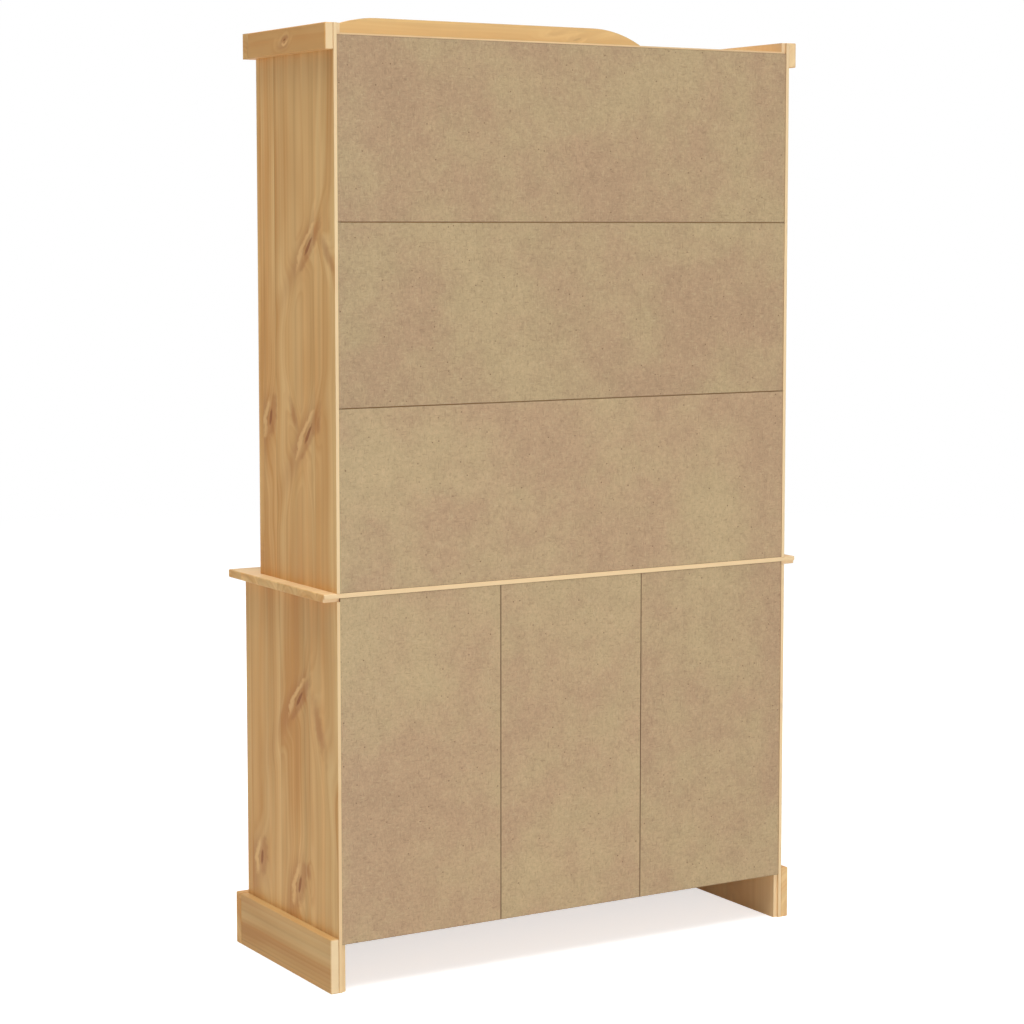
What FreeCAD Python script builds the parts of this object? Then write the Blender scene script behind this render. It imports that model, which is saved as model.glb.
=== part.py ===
"""Two-part pine highboard: a sideboard base with a glazed hutch standing on it.

Every piece is its own solid, sized by formulas on the sheet "dims", in millimetres.
The frame has +Z up, its origin on the floor below the middle of the outer box, and the front faces -Y.
Left and right are as seen from the front, so left is -X.
"""

import FreeCAD
import Part
import os
import re

import Sketcher

# Driving dimensions: sheet name, size in millimetres, what it measures.
DIMENSIONS = [
    ("top_width", 1120.0, "base top, end to end"),
    ("top_depth", 430.0, "base top, front to back"),
    ("base_height", 780.0, "floor to the upper face of the base top"),
    ("side_overhang", 28.0, "base top beyond the outer face of a side board"),
    ("front_overhang", 22.0, "base top beyond the front of the base frame"),
    ("hutch_height", 1078.0, "base top to the top of the hutch sides"),
    ("hutch_step", 71.0, "hutch frame behind the base frame"),
    ("board", 16.0, "carcass boards"),
    ("frame_thick", 20.0, "face frames, doors and drawer fronts"),
    ("ease", 1.5, "eased edges of tops and trim"),
    ("fine_ease", 1.0, "eased edges of doors and drawer fronts"),
    ("lip", 7.0, "side board left outside the back rebate"),
    ("top_lip", 9.0, "base top left above its back rebate"),
    ("rebate_depth", 5.0, "back rebates, from the back plane"),
    ("back_thick", 4.0, "hardboard back panels"),
    ("panel_joint", 1.0, "open joint between back panels"),
    ("bottom_height", 94.0, "floor to the underside of the base bottom"),
    ("outer_extra", 22.5, "outer back panels of the base wider than the centre one"),
    ("trim_thick", 18.0, "plinth and cornice returns"),
    ("trim_front", 22.0, "plinth front and crest board"),
    ("plinth_height", 107.0, "plinth"),
    ("cornice_height", 50.0, "cornice returns and crest board at its ends"),
    ("crest_rise", 42.0, "middle of the crest above the cornice"),
    ("crest_run", 288.0, "level middle of the crest to each end"),
    ("shoulder_radius", 250.0, "round shoulders of the crest"),
    ("blend_radius", 40.0, "hollow where a shoulder runs out"),
    ("back_drop", 22.0, "hutch back below the top of the sides"),
    ("top_proud", 3.5, "hutch top above the hutch back"),
    ("shelf_pitch", 353.0, "hutch back panels and shelves, middle to middle"),
    ("shelf_setback", 12.0, "shelves behind the inner faces of the doors"),
    ("base_stile", 45.0, "outer stiles of the base frame"),
    ("mullion", 40.0, "inner stiles of the base frame"),
    ("bottom_rail", 40.0, "bottom rail of the base frame"),
    ("drawer_rail", 30.0, "rails between drawers and doors"),
    ("top_rail", 30.0, "top rail of the base frame"),
    ("drawer_opening", 120.0, "drawer openings, bottom to top"),
    ("hutch_stile", 50.0, "stiles of the hutch frame"),
    ("hutch_bottom_rail", 40.0, "bottom rail of the hutch frame"),
    ("hutch_top_rail", 78.0, "top rail of the hutch frame"),
    ("gap", 2.0, "gap round doors and drawer fronts"),
    ("meeting_gap", 3.0, "gap between the two hutch doors"),
    ("door_stile", 52.0, "stiles of the doors"),
    ("door_rail", 58.0, "rails of the doors"),
    ("groove_depth", 8.0, "panel held in the grooves of a door"),
    ("groove_width", 6.0, "panel tongue and its groove"),
    ("groove_inset", 7.0, "front of a door to its panel groove"),
    ("panel_play", 1.0, "panel and glass to the bottom of their seats"),
    ("field_reveal", 3.0, "raised field to the door frame"),
    ("field_bevel", 26.0, "sloping border of the raised field"),
    ("field_height", 5.0, "raised field above the panel tongue"),
    ("glass_thick", 4.0, "panes"),
    ("glass_inset", 10.0, "front of a hutch door to its glass"),
    ("glass_lap", 9.0, "glass behind the door frame"),
    ("glazing_bar", 26.0, "glazing bars, bottom to top"),
    ("side_play", 3.0, "drawer box to its guides"),
    ("run_play", 0.3, "drawer box to its runners and kickers"),
    ("box_thick", 12.0, "drawer sides and back"),
    ("box_clear", 21.0, "drawer box to the back of the base"),
    ("box_drop", 10.0, "top of a drawer opening to the rim of the box"),
    ("ply", 4.0, "drawer bottoms"),
    ("ply_seat", 8.0, "drawer bottom above the lower edge of the box"),
    ("ply_lap", 5.0, "drawer bottom held in its grooves"),
    ("runner_reach", 16.0, "runners and kickers beyond the edge of the opening"),
    ("runner_thick", 20.0, "runners"),
    ("guide_height", 34.0, "guides above the runners"),
    ("cleat", 14.0, "shelf cleats, square"),
    ("base_shelf_height", 226.0, "base bottom to the underside of a base shelf"),
    ("shelf_play", 1.0, "base shelf to the boards at its ends"),
    ("knob_rose_radius", 11.0, "foot of a knob"),
    ("knob_rose_thick", 3.0, "foot of a knob"),
    ("knob_neck_radius", 5.5, "neck of a knob"),
    ("knob_head_radius", 14.0, "head of a knob"),
    ("knob_head_thick", 9.0, "head of a knob"),
    ("knob_length", 22.0, "knob in front of its face"),
    ("knob_round", 3.5, "rounded rim of a knob head"),
    ("base_knob_drop", 110.0, "top of a base door to its knob"),
    ("hutch_knob_height", 400.0, "base top to the knob of a hutch door"),
    ("leaf_height", 60.0, "hinge leaves, bottom to top"),
    ("leaf_reach", 30.0, "hinge axis to the far edge of a leaf"),
    ("leaf_thick", 1.5, "hinge leaves"),
    ("leaf_corner", 5.0, "clipped corners of hinge leaves"),
    ("knuckle_radius", 3.5, "hinge knuckles"),
    ("knuckle_stand", 4.0, "hinge axis in front of the faces it joins"),
    ("knuckle_play", 0.3, "between neighbouring knuckles"),
    ("pin_radius", 1.5, "hinge pins"),
    ("pin_play", 0.05, "hinge pin to its bore, all round"),
    ("pin_head_radius", 3.0, "heads of hinge pins"),
    ("pin_head", 2.5, "heads of hinge pins, end to end"),
    ("base_hinge_inset", 62.0, "end of a base door to the middle of its hinge"),
    ("hutch_hinge_inset", 90.0, "end of a hutch door to the middle of its hinge"),
    ("catch_width", 34.0, "door catches"),
    ("catch_depth", 13.0, "door catches"),
    ("catch_height", 24.0, "door catches"),
    ("catch_hang", 11.0, "door catches below the rail that carries them"),
    ("catch_inset", 70.0, "free edge of a door to the middle of its catch"),
    ("dowel_radius", 4.0, "locating dowels"),
    ("dowel_play", 0.1, "dowel to its hole, all round"),
    ("dowel_length", 38.0, "locating dowels, end to end"),
    ("dowel_inset", 60.0, "ends of a hutch side to its dowels"),
]

NAMES = {name for name, size, note in DIMENSIONS}
SIDES = {"left": -1, "right": 1}
BOX_EDGES = range(1, 13)

# Planes that pieces share, as formulas on the sheet.
BACK = "(top_depth / 2)"
REBATE = f"({BACK} - rebate_depth)"
BACK_FACE = f"({REBATE} + back_thick)"
BASE_FRONT = f"(front_overhang - {BACK})"
BASE_INNER = f"({BASE_FRONT} + frame_thick)"
HUTCH_FRONT = f"({BASE_FRONT} + hutch_step)"
HUTCH_INNER = f"({HUTCH_FRONT} + frame_thick)"
OUTSIDE = "(top_width / 2 - side_overhang)"
INSIDE = f"({OUTSIDE} - board)"
LIP_EDGE = f"({OUTSIDE} - lip)"
TRIM_END = f"({OUTSIDE} + trim_thick)"
CREST_FLAT = f"({TRIM_END} - crest_run)"
DIVIDER = f"(({LIP_EDGE} - outer_extra) / 3)"
TOP_UNDER = "(base_height - board)"
BOTTOM_UPPER = "(bottom_height + board)"
DOOR_SILL = "(bottom_height + bottom_rail)"
DRAWER_HEAD = f"({TOP_UNDER} - top_rail)"
DRAWER_SILL = f"({DRAWER_HEAD} - drawer_opening)"
BOX_RIM = f"({DRAWER_HEAD} - box_drop)"
DOOR_HEAD = f"({DRAWER_SILL} - drawer_rail)"
BASE_SHELF = f"({BOTTOM_UPPER} + base_shelf_height)"
SIDE_TOP = "(base_height + hutch_height)"
BACK_TOP = f"({SIDE_TOP} - back_drop)"
HUTCH_TOP = f"({BACK_TOP} + top_proud)"
CORNICE_UNDER = f"({SIDE_TOP} - cornice_height)"
HUTCH_SILL = "(base_height + hutch_bottom_rail)"
HUTCH_HEAD = f"({SIDE_TOP} - hutch_top_rail)"
HUTCH_EDGE = f"({OUTSIDE} - hutch_stile)"
SHELF_LEVELS = {"lower": "(base_height + shelf_pitch)", "upper": "(base_height + 2 * shelf_pitch)"}

# Left and right edges of the three base openings, and the faces of the boards behind them.
OPENINGS = {
    "left": (f"(-{OUTSIDE} + base_stile)", f"(-{DIVIDER} - mullion / 2)"),
    "centre": (f"(-{DIVIDER} + mullion / 2)", f"({DIVIDER} - mullion / 2)"),
    "right": (f"({DIVIDER} + mullion / 2)", f"({OUTSIDE} - base_stile)"),
}
BAYS = {
    "left": (f"(-{INSIDE})", f"(-{DIVIDER} - board / 2)"),
    "centre": (f"(-{DIVIDER} + board / 2)", f"({DIVIDER} - board / 2)"),
    "right": (f"({DIVIDER} + board / 2)", INSIDE),
}
# Side on which each base door hangs: -1 for its left edge, 1 for its right edge.
HINGE_SIDES = {"left": -1, "centre": -1, "right": 1}

doc = FreeCAD.newDocument("highboard")
nodes = {}


def fill_sheet():
    """Write the driving dimensions to the sheet, each with its name."""
    sheet = doc.addObject("Spreadsheet::Sheet", "dims")
    for row, (name, size, note) in enumerate(DIMENSIONS, start=1):
        sheet.set(f"A{row}", note)
        sheet.set(f"B{row}", str(size))
        sheet.setAlias(f"B{row}", name)
    doc.recompute()


def on_sheet(text):
    """Point each dimension's name in a formula at the sheet."""
    return re.sub(r"[a-z_]+", lambda word: ("dims." if word.group() in NAMES else "") + word.group(), text)


def size_of(text):
    """Value of a formula at the present sizes."""
    return float(doc.dims.evalExpression(on_sheet(text)))


def between(low, high):
    """Formula for the distance from one plane to another."""
    return f"({high}) - ({low})"


def middle(low, high):
    """Formula for the plane half way between two planes."""
    return f"((({low}) + ({high})) / 2)"


def mirrored(side, low, high):
    """A pair of planes given for the right, or their mirror image for the left."""
    return (low, high) if side > 0 else (f"(-({high}))", f"(-({low}))")


def away(side, start, first, second):
    """A pair of planes at two distances from a start, measured towards one side, in rising order."""
    if side > 0:
        return f"({start} + {first})", f"({start} + {second})"
    return f"({start} - ({second}))", f"({start} - ({first}))"


def box(name, x, y, z):
    """A board between three pairs of planes."""
    board = doc.addObject("Part::Box", name)
    for axis, size, (low, high) in zip("xyz", ("Length", "Width", "Height"), (x, y, z)):
        board.setExpression(f"Placement.Base.{axis}", on_sheet(low))
        board.setExpression(size, on_sheet(between(low, high)))
    return board


def rod(name, centre, radius, low, high):
    """An upright round rod between two levels."""
    cylinder = doc.addObject("Part::Cylinder", name)
    cylinder.setExpression("Radius", on_sheet(radius))
    cylinder.setExpression("Height", on_sheet(between(low, high)))
    for axis, place in zip("xyz", (*centre, low)):
        cylinder.setExpression(f"Placement.Base.{axis}", on_sheet(place))
    return cylinder


def eased(name, board, ease, edges=BOX_EDGES):
    """A board with the given edges taken off at 45 degrees."""
    chamfer = doc.addObject("Part::Chamfer", name)
    chamfer.Base = board
    chamfer.Edges = [(edge, size_of(ease), size_of(ease)) for edge in edges]
    return chamfer


def cut(name, solid, tool):
    """A solid with another taken out of it."""
    result = doc.addObject("Part::Cut", name)
    result.Base = solid
    result.Tool = tool
    return result


def fused(name, solids):
    """Solids that are one piece."""
    result = doc.addObject("Part::MultiFuse", name)
    result.Shapes = solids
    return result


def grouped(name, solids):
    """Separate solids that share a node."""
    result = doc.addObject("Part::Compound", name)
    result.Links = solids
    return result


def node(name, solid):
    """Enter a finished sub-part under its own name."""
    solid.Label = name
    nodes[name] = solid


def build_side_boards():
    """Base and hutch sides, each rebated along its inner back edge for the backs."""
    for hand, side in SIDES.items():
        for part, front, low, high in (
            ("base", BASE_INNER, "0", TOP_UNDER),
            ("hutch", HUTCH_INNER, "base_height", SIDE_TOP),
        ):
            name = f"{part}_side_{hand}"
            blank = box(f"{name}_blank", mirrored(side, INSIDE, OUTSIDE), (front, BACK), (low, high))
            rebate = box(f"{name}_rebate", mirrored(side, INSIDE, LIP_EDGE), (REBATE, BACK), (low, high))
            board = cut(f"{name}_board", blank, rebate)
            if part == "hutch":
                board = cut(f"{name}_drilled", board, dowel_holes(name, side))
            node(name, board)


def dowel_places(side):
    """Middles of the two dowels under one hutch side."""
    across = middle(*mirrored(side, INSIDE, OUTSIDE))
    return [(across, f"({HUTCH_INNER} + dowel_inset)"), (across, f"({BACK} - dowel_inset)")]


def dowel_span():
    """Lower and upper ends of the dowels, which go through the base top into the hutch sides."""
    return TOP_UNDER, f"({TOP_UNDER} + dowel_length)"


def dowel_holes(name, side):
    """Holes for the dowels on one side, as one tool that starts at the underside of the base top."""
    low, high = dowel_span()
    holes = [
        rod(f"{name}_hole_{index}", place, "dowel_radius + dowel_play", low, high)
        for index, place in enumerate(dowel_places(side))
    ]
    return grouped(f"{name}_holes", holes)


def build_dowels():
    """Dowels that locate the hutch on the base."""
    low, high = dowel_span()
    dowels = [
        rod(f"dowel_{hand}_{index}", place, "dowel_radius", low, high)
        for hand, side in SIDES.items()
        for index, place in enumerate(dowel_places(side))
    ]
    node("locating_dowels", grouped("dowel_set", dowels))


def build_base_top():
    """Overhanging base top, rebated along its lower back edge and drilled for the dowels."""
    across = ("-top_width / 2", "top_width / 2")
    blank = box("base_top_blank", across, (f"(-{BACK})", BACK), (TOP_UNDER, "base_height"))
    board = eased("base_top_eased", blank, "ease")
    rebate = box("base_top_rebate", across, (REBATE, BACK), (TOP_UNDER, "(base_height - top_lip)"))
    board = cut("base_top_rebated", board, rebate)
    for hand, side in SIDES.items():
        board = cut(f"base_top_drilled_{hand}", board, dowel_holes(f"base_top_{hand}", side))
    node("base_top", board)


def build_base_inside():
    """Base bottom, dividers, and shelves on cleats."""
    depth = (BASE_INNER, REBATE)
    node("base_bottom", box("bottom_board", (f"(-{INSIDE})", INSIDE), depth, ("bottom_height", BOTTOM_UPPER)))
    dividers = [
        box(f"divider_{hand}", mirrored(side, f"({DIVIDER} - board / 2)", f"({DIVIDER} + board / 2)"), depth,
            (BOTTOM_UPPER, TOP_UNDER))
        for hand, side in SIDES.items()
    ]
    node("base_dividers", grouped("divider_set", dividers))
    shelf_depth = (f"({BASE_INNER} + shelf_setback)", REBATE)
    shelves = []
    cleats = []
    for bay, (low, high) in BAYS.items():
        across = (f"({low} + shelf_play)", f"({high} - shelf_play)")
        shelves.append(box(f"shelf_{bay}", across, shelf_depth, (BASE_SHELF, f"({BASE_SHELF} + board)")))
        for hand, face, side in (("left", low, 1), ("right", high, -1)):
            cleats.append(box(f"cleat_{bay}_{hand}", away(side, face, "0", "cleat"), shelf_depth,
                              (f"({BASE_SHELF} - cleat)", BASE_SHELF)))
    node("base_shelves", grouped("shelf_set", shelves))
    node("shelf_cleats", grouped("cleat_set", cleats))


def build_backs():
    """Hardboard backs: three standing panels on the base, three lying ones on the hutch."""
    depth = (REBATE, BACK_FACE)
    joint = "panel_joint / 2"
    columns = {
        "left": (f"(-{LIP_EDGE})", f"(-{DIVIDER} - {joint})"),
        "centre": (f"(-{DIVIDER} + {joint})", f"({DIVIDER} - {joint})"),
        "right": (f"({DIVIDER} + {joint})", LIP_EDGE),
    }
    for place, across in columns.items():
        panel = box(f"base_panel_{place}", across, depth, ("bottom_height", "(base_height - top_lip)"))
        node(f"base_back_{place}", panel)
    lower, upper = SHELF_LEVELS["lower"], SHELF_LEVELS["upper"]
    rows = {
        "lower": ("base_height", f"({lower} - {joint})"),
        "middle": (f"({lower} + {joint})", f"({upper} - {joint})"),
        "upper": (f"({upper} + {joint})", BACK_TOP),
    }
    for place, height in rows.items():
        node(f"hutch_back_{place}", box(f"hutch_panel_{place}", (f"(-{LIP_EDGE})", LIP_EDGE), depth, height))


def build_hutch_inside():
    """Hutch top and its two fixed shelves, which the joints of the back lie on."""
    across = (f"(-{INSIDE})", INSIDE)
    thickness = (f"({HUTCH_TOP} - board)", HUTCH_TOP)
    node("hutch_top", box("hutch_top_board", across, (HUTCH_INNER, REBATE), thickness))
    depth = (f"({HUTCH_INNER} + shelf_setback)", REBATE)
    shelves = [
        box(f"hutch_shelf_{place}", across, depth, (f"({level} - board / 2)", f"({level} + board / 2)"))
        for place, level in SHELF_LEVELS.items()
    ]
    node("hutch_shelves", grouped("hutch_shelf_set", shelves))


def build_base_frame():
    """Face frame of the base: two stiles to the floor, two mullions, and rails between them."""
    depth = (BASE_FRONT, BASE_INNER)
    full = (OPENINGS["left"][0], OPENINGS["right"][1])
    members = [
        box("base_rail_bottom", full, depth, ("bottom_height", DOOR_SILL)),
        box("base_rail_top", full, depth, (DRAWER_HEAD, TOP_UNDER)),
    ]
    for hand, side in SIDES.items():
        stile = mirrored(side, f"({OUTSIDE} - base_stile)", OUTSIDE)
        mullion = mirrored(side, f"({DIVIDER} - mullion / 2)", f"({DIVIDER} + mullion / 2)")
        members.append(box(f"base_stile_{hand}", stile, depth, ("0", TOP_UNDER)))
        members.append(box(f"base_mullion_{hand}", mullion, depth, (DOOR_SILL, DRAWER_HEAD)))
    for bay, across in OPENINGS.items():
        members.append(box(f"base_rail_{bay}", across, depth, (DOOR_HEAD, DRAWER_SILL)))
    node("base_face_frame", grouped("base_frame_set", members))


def build_hutch_frame():
    """Face frame of the hutch: two stiles and two rails."""
    depth = (HUTCH_FRONT, HUTCH_INNER)
    across = (f"(-{HUTCH_EDGE})", HUTCH_EDGE)
    members = [
        box(f"hutch_stile_{hand}", mirrored(side, HUTCH_EDGE, OUTSIDE), depth, ("base_height", SIDE_TOP))
        for hand, side in SIDES.items()
    ]
    members.append(box("hutch_rail_bottom", across, depth, ("base_height", HUTCH_SILL)))
    members.append(box("hutch_rail_top", across, depth, (HUTCH_HEAD, SIDE_TOP)))
    node("hutch_face_frame", grouped("hutch_frame_set", members))


def build_trim():
    """Plinth and cornice returns, and the plinth front."""
    for hand, side in SIDES.items():
        across = mirrored(side, OUTSIDE, TRIM_END)
        plinth = box(f"plinth_{hand}_blank", across, (BASE_FRONT, BACK), ("0", "plinth_height"))
        cornice = box(f"cornice_{hand}_blank", across, (HUTCH_FRONT, BACK), (CORNICE_UNDER, SIDE_TOP))
        node(f"plinth_{hand}", eased(f"plinth_{hand}_eased", plinth, "ease"))
        node(f"cornice_{hand}", eased(f"cornice_{hand}_eased", cornice, "ease"))
    depth = (f"({BASE_FRONT} - trim_front)", BASE_FRONT)
    front = box("plinth_front_blank", (f"(-{TRIM_END})", TRIM_END), depth, ("0", "plinth_height"))
    node("plinth_front", eased("plinth_front_eased", front, "ease"))


def crest_outline():
    """Points and circle centres of the crest's right half, from its middle line outwards."""
    flat = size_of(CREST_FLAT)
    ledge = size_of("cornice_height")
    top = size_of("cornice_height + crest_rise")
    shoulder = size_of("shoulder_radius")
    blend = size_of("blend_radius")
    high_centre = FreeCAD.Vector(flat, top - shoulder, 0)
    rise = ledge + blend - high_centre.y
    low_centre = FreeCAD.Vector(flat + ((shoulder + blend) ** 2 - rise ** 2) ** 0.5, ledge + blend, 0)
    meeting = high_centre + (low_centre - high_centre) * (shoulder / (shoulder + blend))
    return high_centre, low_centre, meeting


def arc_between(centre, radius, start, end):
    """Arc about a centre, turning left from one point's direction to another's."""
    circle = Part.Circle(centre, FreeCAD.Vector(0, 0, 1), radius)
    return Part.ArcOfCircle(circle, circle.parameter(start), circle.parameter(end))


def flipped(point):
    """A point of the crest's right half, on its left half."""
    return FreeCAD.Vector(-point.x, point.y, 0)


def draw_crest(sketch):
    """Draw the crest's outline, symmetrical about its middle, and tie it to the sheet."""
    high_centre, low_centre, meeting = crest_outline()
    shoulder = size_of("shoulder_radius")
    blend = size_of("blend_radius")
    end = size_of(TRIM_END)
    ledge = size_of("cornice_height")
    corner = FreeCAD.Vector(end, 0, 0)
    ledge_end = FreeCAD.Vector(end, ledge, 0)
    ledge_start = FreeCAD.Vector(low_centre.x, ledge, 0)
    crown = FreeCAD.Vector(high_centre.x, high_centre.y + shoulder, 0)
    right_end, right_ledge, right_hollow, right_shoulder = sketch.addGeometry([
        Part.LineSegment(corner, ledge_end),
        Part.LineSegment(ledge_end, ledge_start),
        arc_between(low_centre, blend, meeting, ledge_start),
        arc_between(high_centre, shoulder, meeting, crown),
    ], False)
    left_shoulder, left_hollow, left_ledge, left_end = sketch.addGeometry([
        arc_between(flipped(high_centre), shoulder, flipped(crown), flipped(meeting)),
        arc_between(flipped(low_centre), blend, flipped(ledge_start), flipped(meeting)),
        Part.LineSegment(flipped(ledge_start), flipped(ledge_end)),
        Part.LineSegment(flipped(ledge_end), flipped(corner)),
    ], False)
    bottom, flat = sketch.addGeometry([
        Part.LineSegment(flipped(corner), corner),
        Part.LineSegment(crown, flipped(crown)),
    ], False)
    start, finish = 1, 2
    x_axis, y_axis = -1, -2
    rules = [
        ("Coincident", bottom, finish, right_end, start),
        ("Coincident", right_end, finish, right_ledge, start),
        ("Coincident", left_ledge, finish, left_end, start),
        ("Coincident", left_end, finish, bottom, start),
        ("Tangent", right_ledge, finish, right_hollow, finish),
        ("Tangent", right_hollow, start, right_shoulder, start),
        ("Tangent", right_shoulder, finish, flat, start),
        ("Tangent", flat, finish, left_shoulder, start),
        ("Tangent", left_shoulder, finish, left_hollow, finish),
        ("Tangent", left_hollow, start, left_ledge, start),
        ("PointOnObject", bottom, start, x_axis),
        ("Symmetric", bottom, start, bottom, finish, y_axis),
        ("Symmetric", flat, start, flat, finish, y_axis),
        ("Vertical", right_end),
        ("Vertical", left_end),
        ("Horizontal", right_ledge),
        ("Equal", right_end, left_end),
        ("Equal", right_hollow, left_hollow),
        ("Equal", right_shoulder, left_shoulder),
    ]
    for rule in rules:
        sketch.addConstraint(Sketcher.Constraint(*rule))
    sizes = [
        ("DistanceX", bottom, start, bottom, finish, f"2 * {TRIM_END}"),
        ("DistanceY", right_end, start, right_end, finish, "cornice_height"),
        ("DistanceX", flat, finish, flat, start, f"2 * {CREST_FLAT}"),
        ("DistanceY", bottom, start, flat, finish, "cornice_height + crest_rise"),
        ("Radius", right_hollow, "blend_radius"),
        ("Radius", right_shoulder, "shoulder_radius"),
    ]
    for *rule, size in sizes:
        index = sketch.addConstraint(Sketcher.Constraint(*rule, size_of(size)))
        sketch.setExpression(f"Constraints[{index}]", on_sheet(size))


def build_crest():
    """Crest board across the front of the cornice, with a raised middle and round shoulders."""
    body = doc.addObject("PartDesign::Body", "crest")
    sketch = body.newObject("Sketcher::SketchObject", "crest_outline")
    plane = next(feature for feature in body.Origin.OriginFeatures if feature.Role == "XZ_Plane")
    sketch.AttachmentSupport = [(plane, "")]
    sketch.MapMode = "FlatFace"
    draw_crest(sketch)
    doc.recompute()
    pad = body.newObject("PartDesign::Pad", "crest_board")
    pad.Profile = sketch
    pad.setExpression("Length", on_sheet("trim_front"))
    body.Tip = pad
    body.setExpression("Placement.Base.y", on_sheet(HUTCH_FRONT))
    body.setExpression("Placement.Base.z", on_sheet(CORNICE_UNDER))
    node("crest_board", body)


def build_runners():
    """Runner, guide and kicker strips on both sides of each drawer."""
    depth = (BASE_INNER, REBATE)
    strips = []
    for bay, (opening_low, opening_high) in OPENINGS.items():
        bay_low, bay_high = BAYS[bay]
        for hand, face, edge in (("left", bay_low, opening_low), ("right", bay_high, opening_high)):
            name = f"{bay}_{hand}"
            guide = (face, edge)
            carrier = (face, f"({edge} + runner_reach)")
            if hand == "right":
                guide = (edge, face)
                carrier = (f"({edge} - runner_reach)", face)
            strips.append(box(f"runner_{name}", carrier, depth, away(-1, DRAWER_SILL, "0", "runner_thick")))
            strips.append(box(f"guide_{name}", guide, depth, away(1, DRAWER_SILL, "0", "guide_height")))
            strips.append(box(f"kicker_{name}", carrier, depth, (f"({BOX_RIM} + run_play)", TOP_UNDER)))
    node("drawer_runners", grouped("runner_set", strips))


def knob(name, x, front, z):
    """A turned knob whose foot stands on a front face."""
    rose = doc.addObject("Part::Cylinder", f"{name}_rose")
    rose.setExpression("Radius", on_sheet("knob_rose_radius"))
    rose.setExpression("Height", on_sheet("knob_rose_thick"))
    neck = doc.addObject("Part::Cylinder", f"{name}_neck")
    neck.setExpression("Radius", on_sheet("knob_neck_radius"))
    neck.setExpression("Height", on_sheet("knob_length - knob_head_thick / 2"))
    head = doc.addObject("Part::Cylinder", f"{name}_head_blank")
    head.setExpression("Radius", on_sheet("knob_head_radius"))
    head.setExpression("Height", on_sheet("knob_head_thick"))
    head.setExpression("Placement.Base.z", on_sheet("knob_length - knob_head_thick"))
    doc.recompute()
    rims = [
        index for index, edge in enumerate(head.Shape.Edges, start=1)
        if isinstance(edge.Curve, Part.Circle)
    ]
    rounded = doc.addObject("Part::Fillet", f"{name}_head")
    rounded.Base = head
    rounded.Edges = [(rim, size_of("knob_round"), size_of("knob_round")) for rim in rims]
    turned = fused(f"{name}_turned", [rose, neck, rounded])
    turned.Placement.Rotation = FreeCAD.Rotation(FreeCAD.Vector(1, 0, 0), 90)
    for axis, place in zip("xyz", (x, front, z)):
        turned.setExpression(f"Placement.Base.{axis}", on_sheet(place))
    node(name, turned)


def build_drawer(bay):
    """One drawer: an inset front, a box of two sides, back and bottom, and a knob."""
    low, high = OPENINGS[bay]
    name = f"drawer_{bay}"
    front = box(f"{name}_front_blank", (f"({low} + gap)", f"({high} - gap)"), (BASE_FRONT, BASE_INNER),
                (f"({DRAWER_SILL} + gap)", f"({DRAWER_HEAD} - gap)"))
    node(f"{name}_front", eased(f"{name}_front_eased", front, "fine_ease"))
    box_low, box_high = f"({low} + side_play)", f"({high} - side_play)"
    under = f"({DRAWER_SILL} + run_play)"
    back = f"({REBATE} - box_clear)"
    seat = f"({under} + ply_seat)"
    inner = (f"({box_low} + box_thick)", f"({box_high} - box_thick)")
    bottom = box(f"{name}_bottom", widened(inner, "ply_lap"), (BASE_INNER, back), away(1, seat, "0", "ply"))
    members = [bottom]
    for hand, across in (("left", (box_low, inner[0])), ("right", (inner[1], box_high))):
        blank = box(f"{name}_side_{hand}_blank", across, (BASE_INNER, back), (under, BOX_RIM))
        members.append(cut(f"{name}_side_{hand}", blank, bottom))
    members.append(box(f"{name}_back", inner, (f"({back} - box_thick)", back), (f"({seat} + ply)", BOX_RIM)))
    node(f"{name}_box", grouped(f"{name}_box_set", members))
    knob(f"{name}_knob", middle(low, high), BASE_FRONT, middle(DRAWER_SILL, DRAWER_HEAD))


def door_members(name, across, depth, height, tool):
    """Two stiles and two rails with eased edges, all cut by the seat of what they hold."""
    low, high = across
    inner = (f"({low} + door_stile)", f"({high} - door_stile)")
    bottom, top = height
    plan = {
        "stile_left": (away(1, low, "0", "door_stile"), height),
        "stile_right": (away(-1, high, "0", "door_stile"), height),
        "rail_bottom": (inner, away(1, bottom, "0", "door_rail")),
        "rail_top": (inner, away(-1, top, "0", "door_rail")),
    }
    members = []
    for member, (x, z) in plan.items():
        blank = box(f"{name}_{member}_blank", x, depth, z)
        softened = eased(f"{name}_{member}_eased", blank, "fine_ease")
        members.append(cut(f"{name}_{member}", softened, tool))
    return members


def widened(planes, margin):
    """A pair of planes moved apart by a margin on each side."""
    low, high = planes
    return f"({low} - ({margin}))", f"({high} + ({margin}))"


def raised_panel(name, opening_x, opening_z, groove):
    """A door panel: a tongue all round and a field that rises towards the front."""
    lap = "groove_depth - panel_play"
    tongue = box(f"{name}_tongue", widened(opening_x, lap), groove, widened(opening_z, lap))
    foot_x = widened(opening_x, "-field_reveal")
    foot_z = widened(opening_z, "-field_reveal")
    field = doc.addObject("Part::Wedge", f"{name}_field")
    planes = {
        "X2": foot_x,
        "Z2": foot_z,
        "X": widened(foot_x, "-field_bevel"),
        "Z": widened(foot_z, "-field_bevel"),
        "Y": (f"({groove[0]} - field_height)", groove[0]),
    }
    for axis, (low, high) in planes.items():
        field.setExpression(f"{axis}min", on_sheet(low))
        field.setExpression(f"{axis}max", on_sheet(high))
    return fused(f"{name}_solid", [tongue, field])


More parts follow.
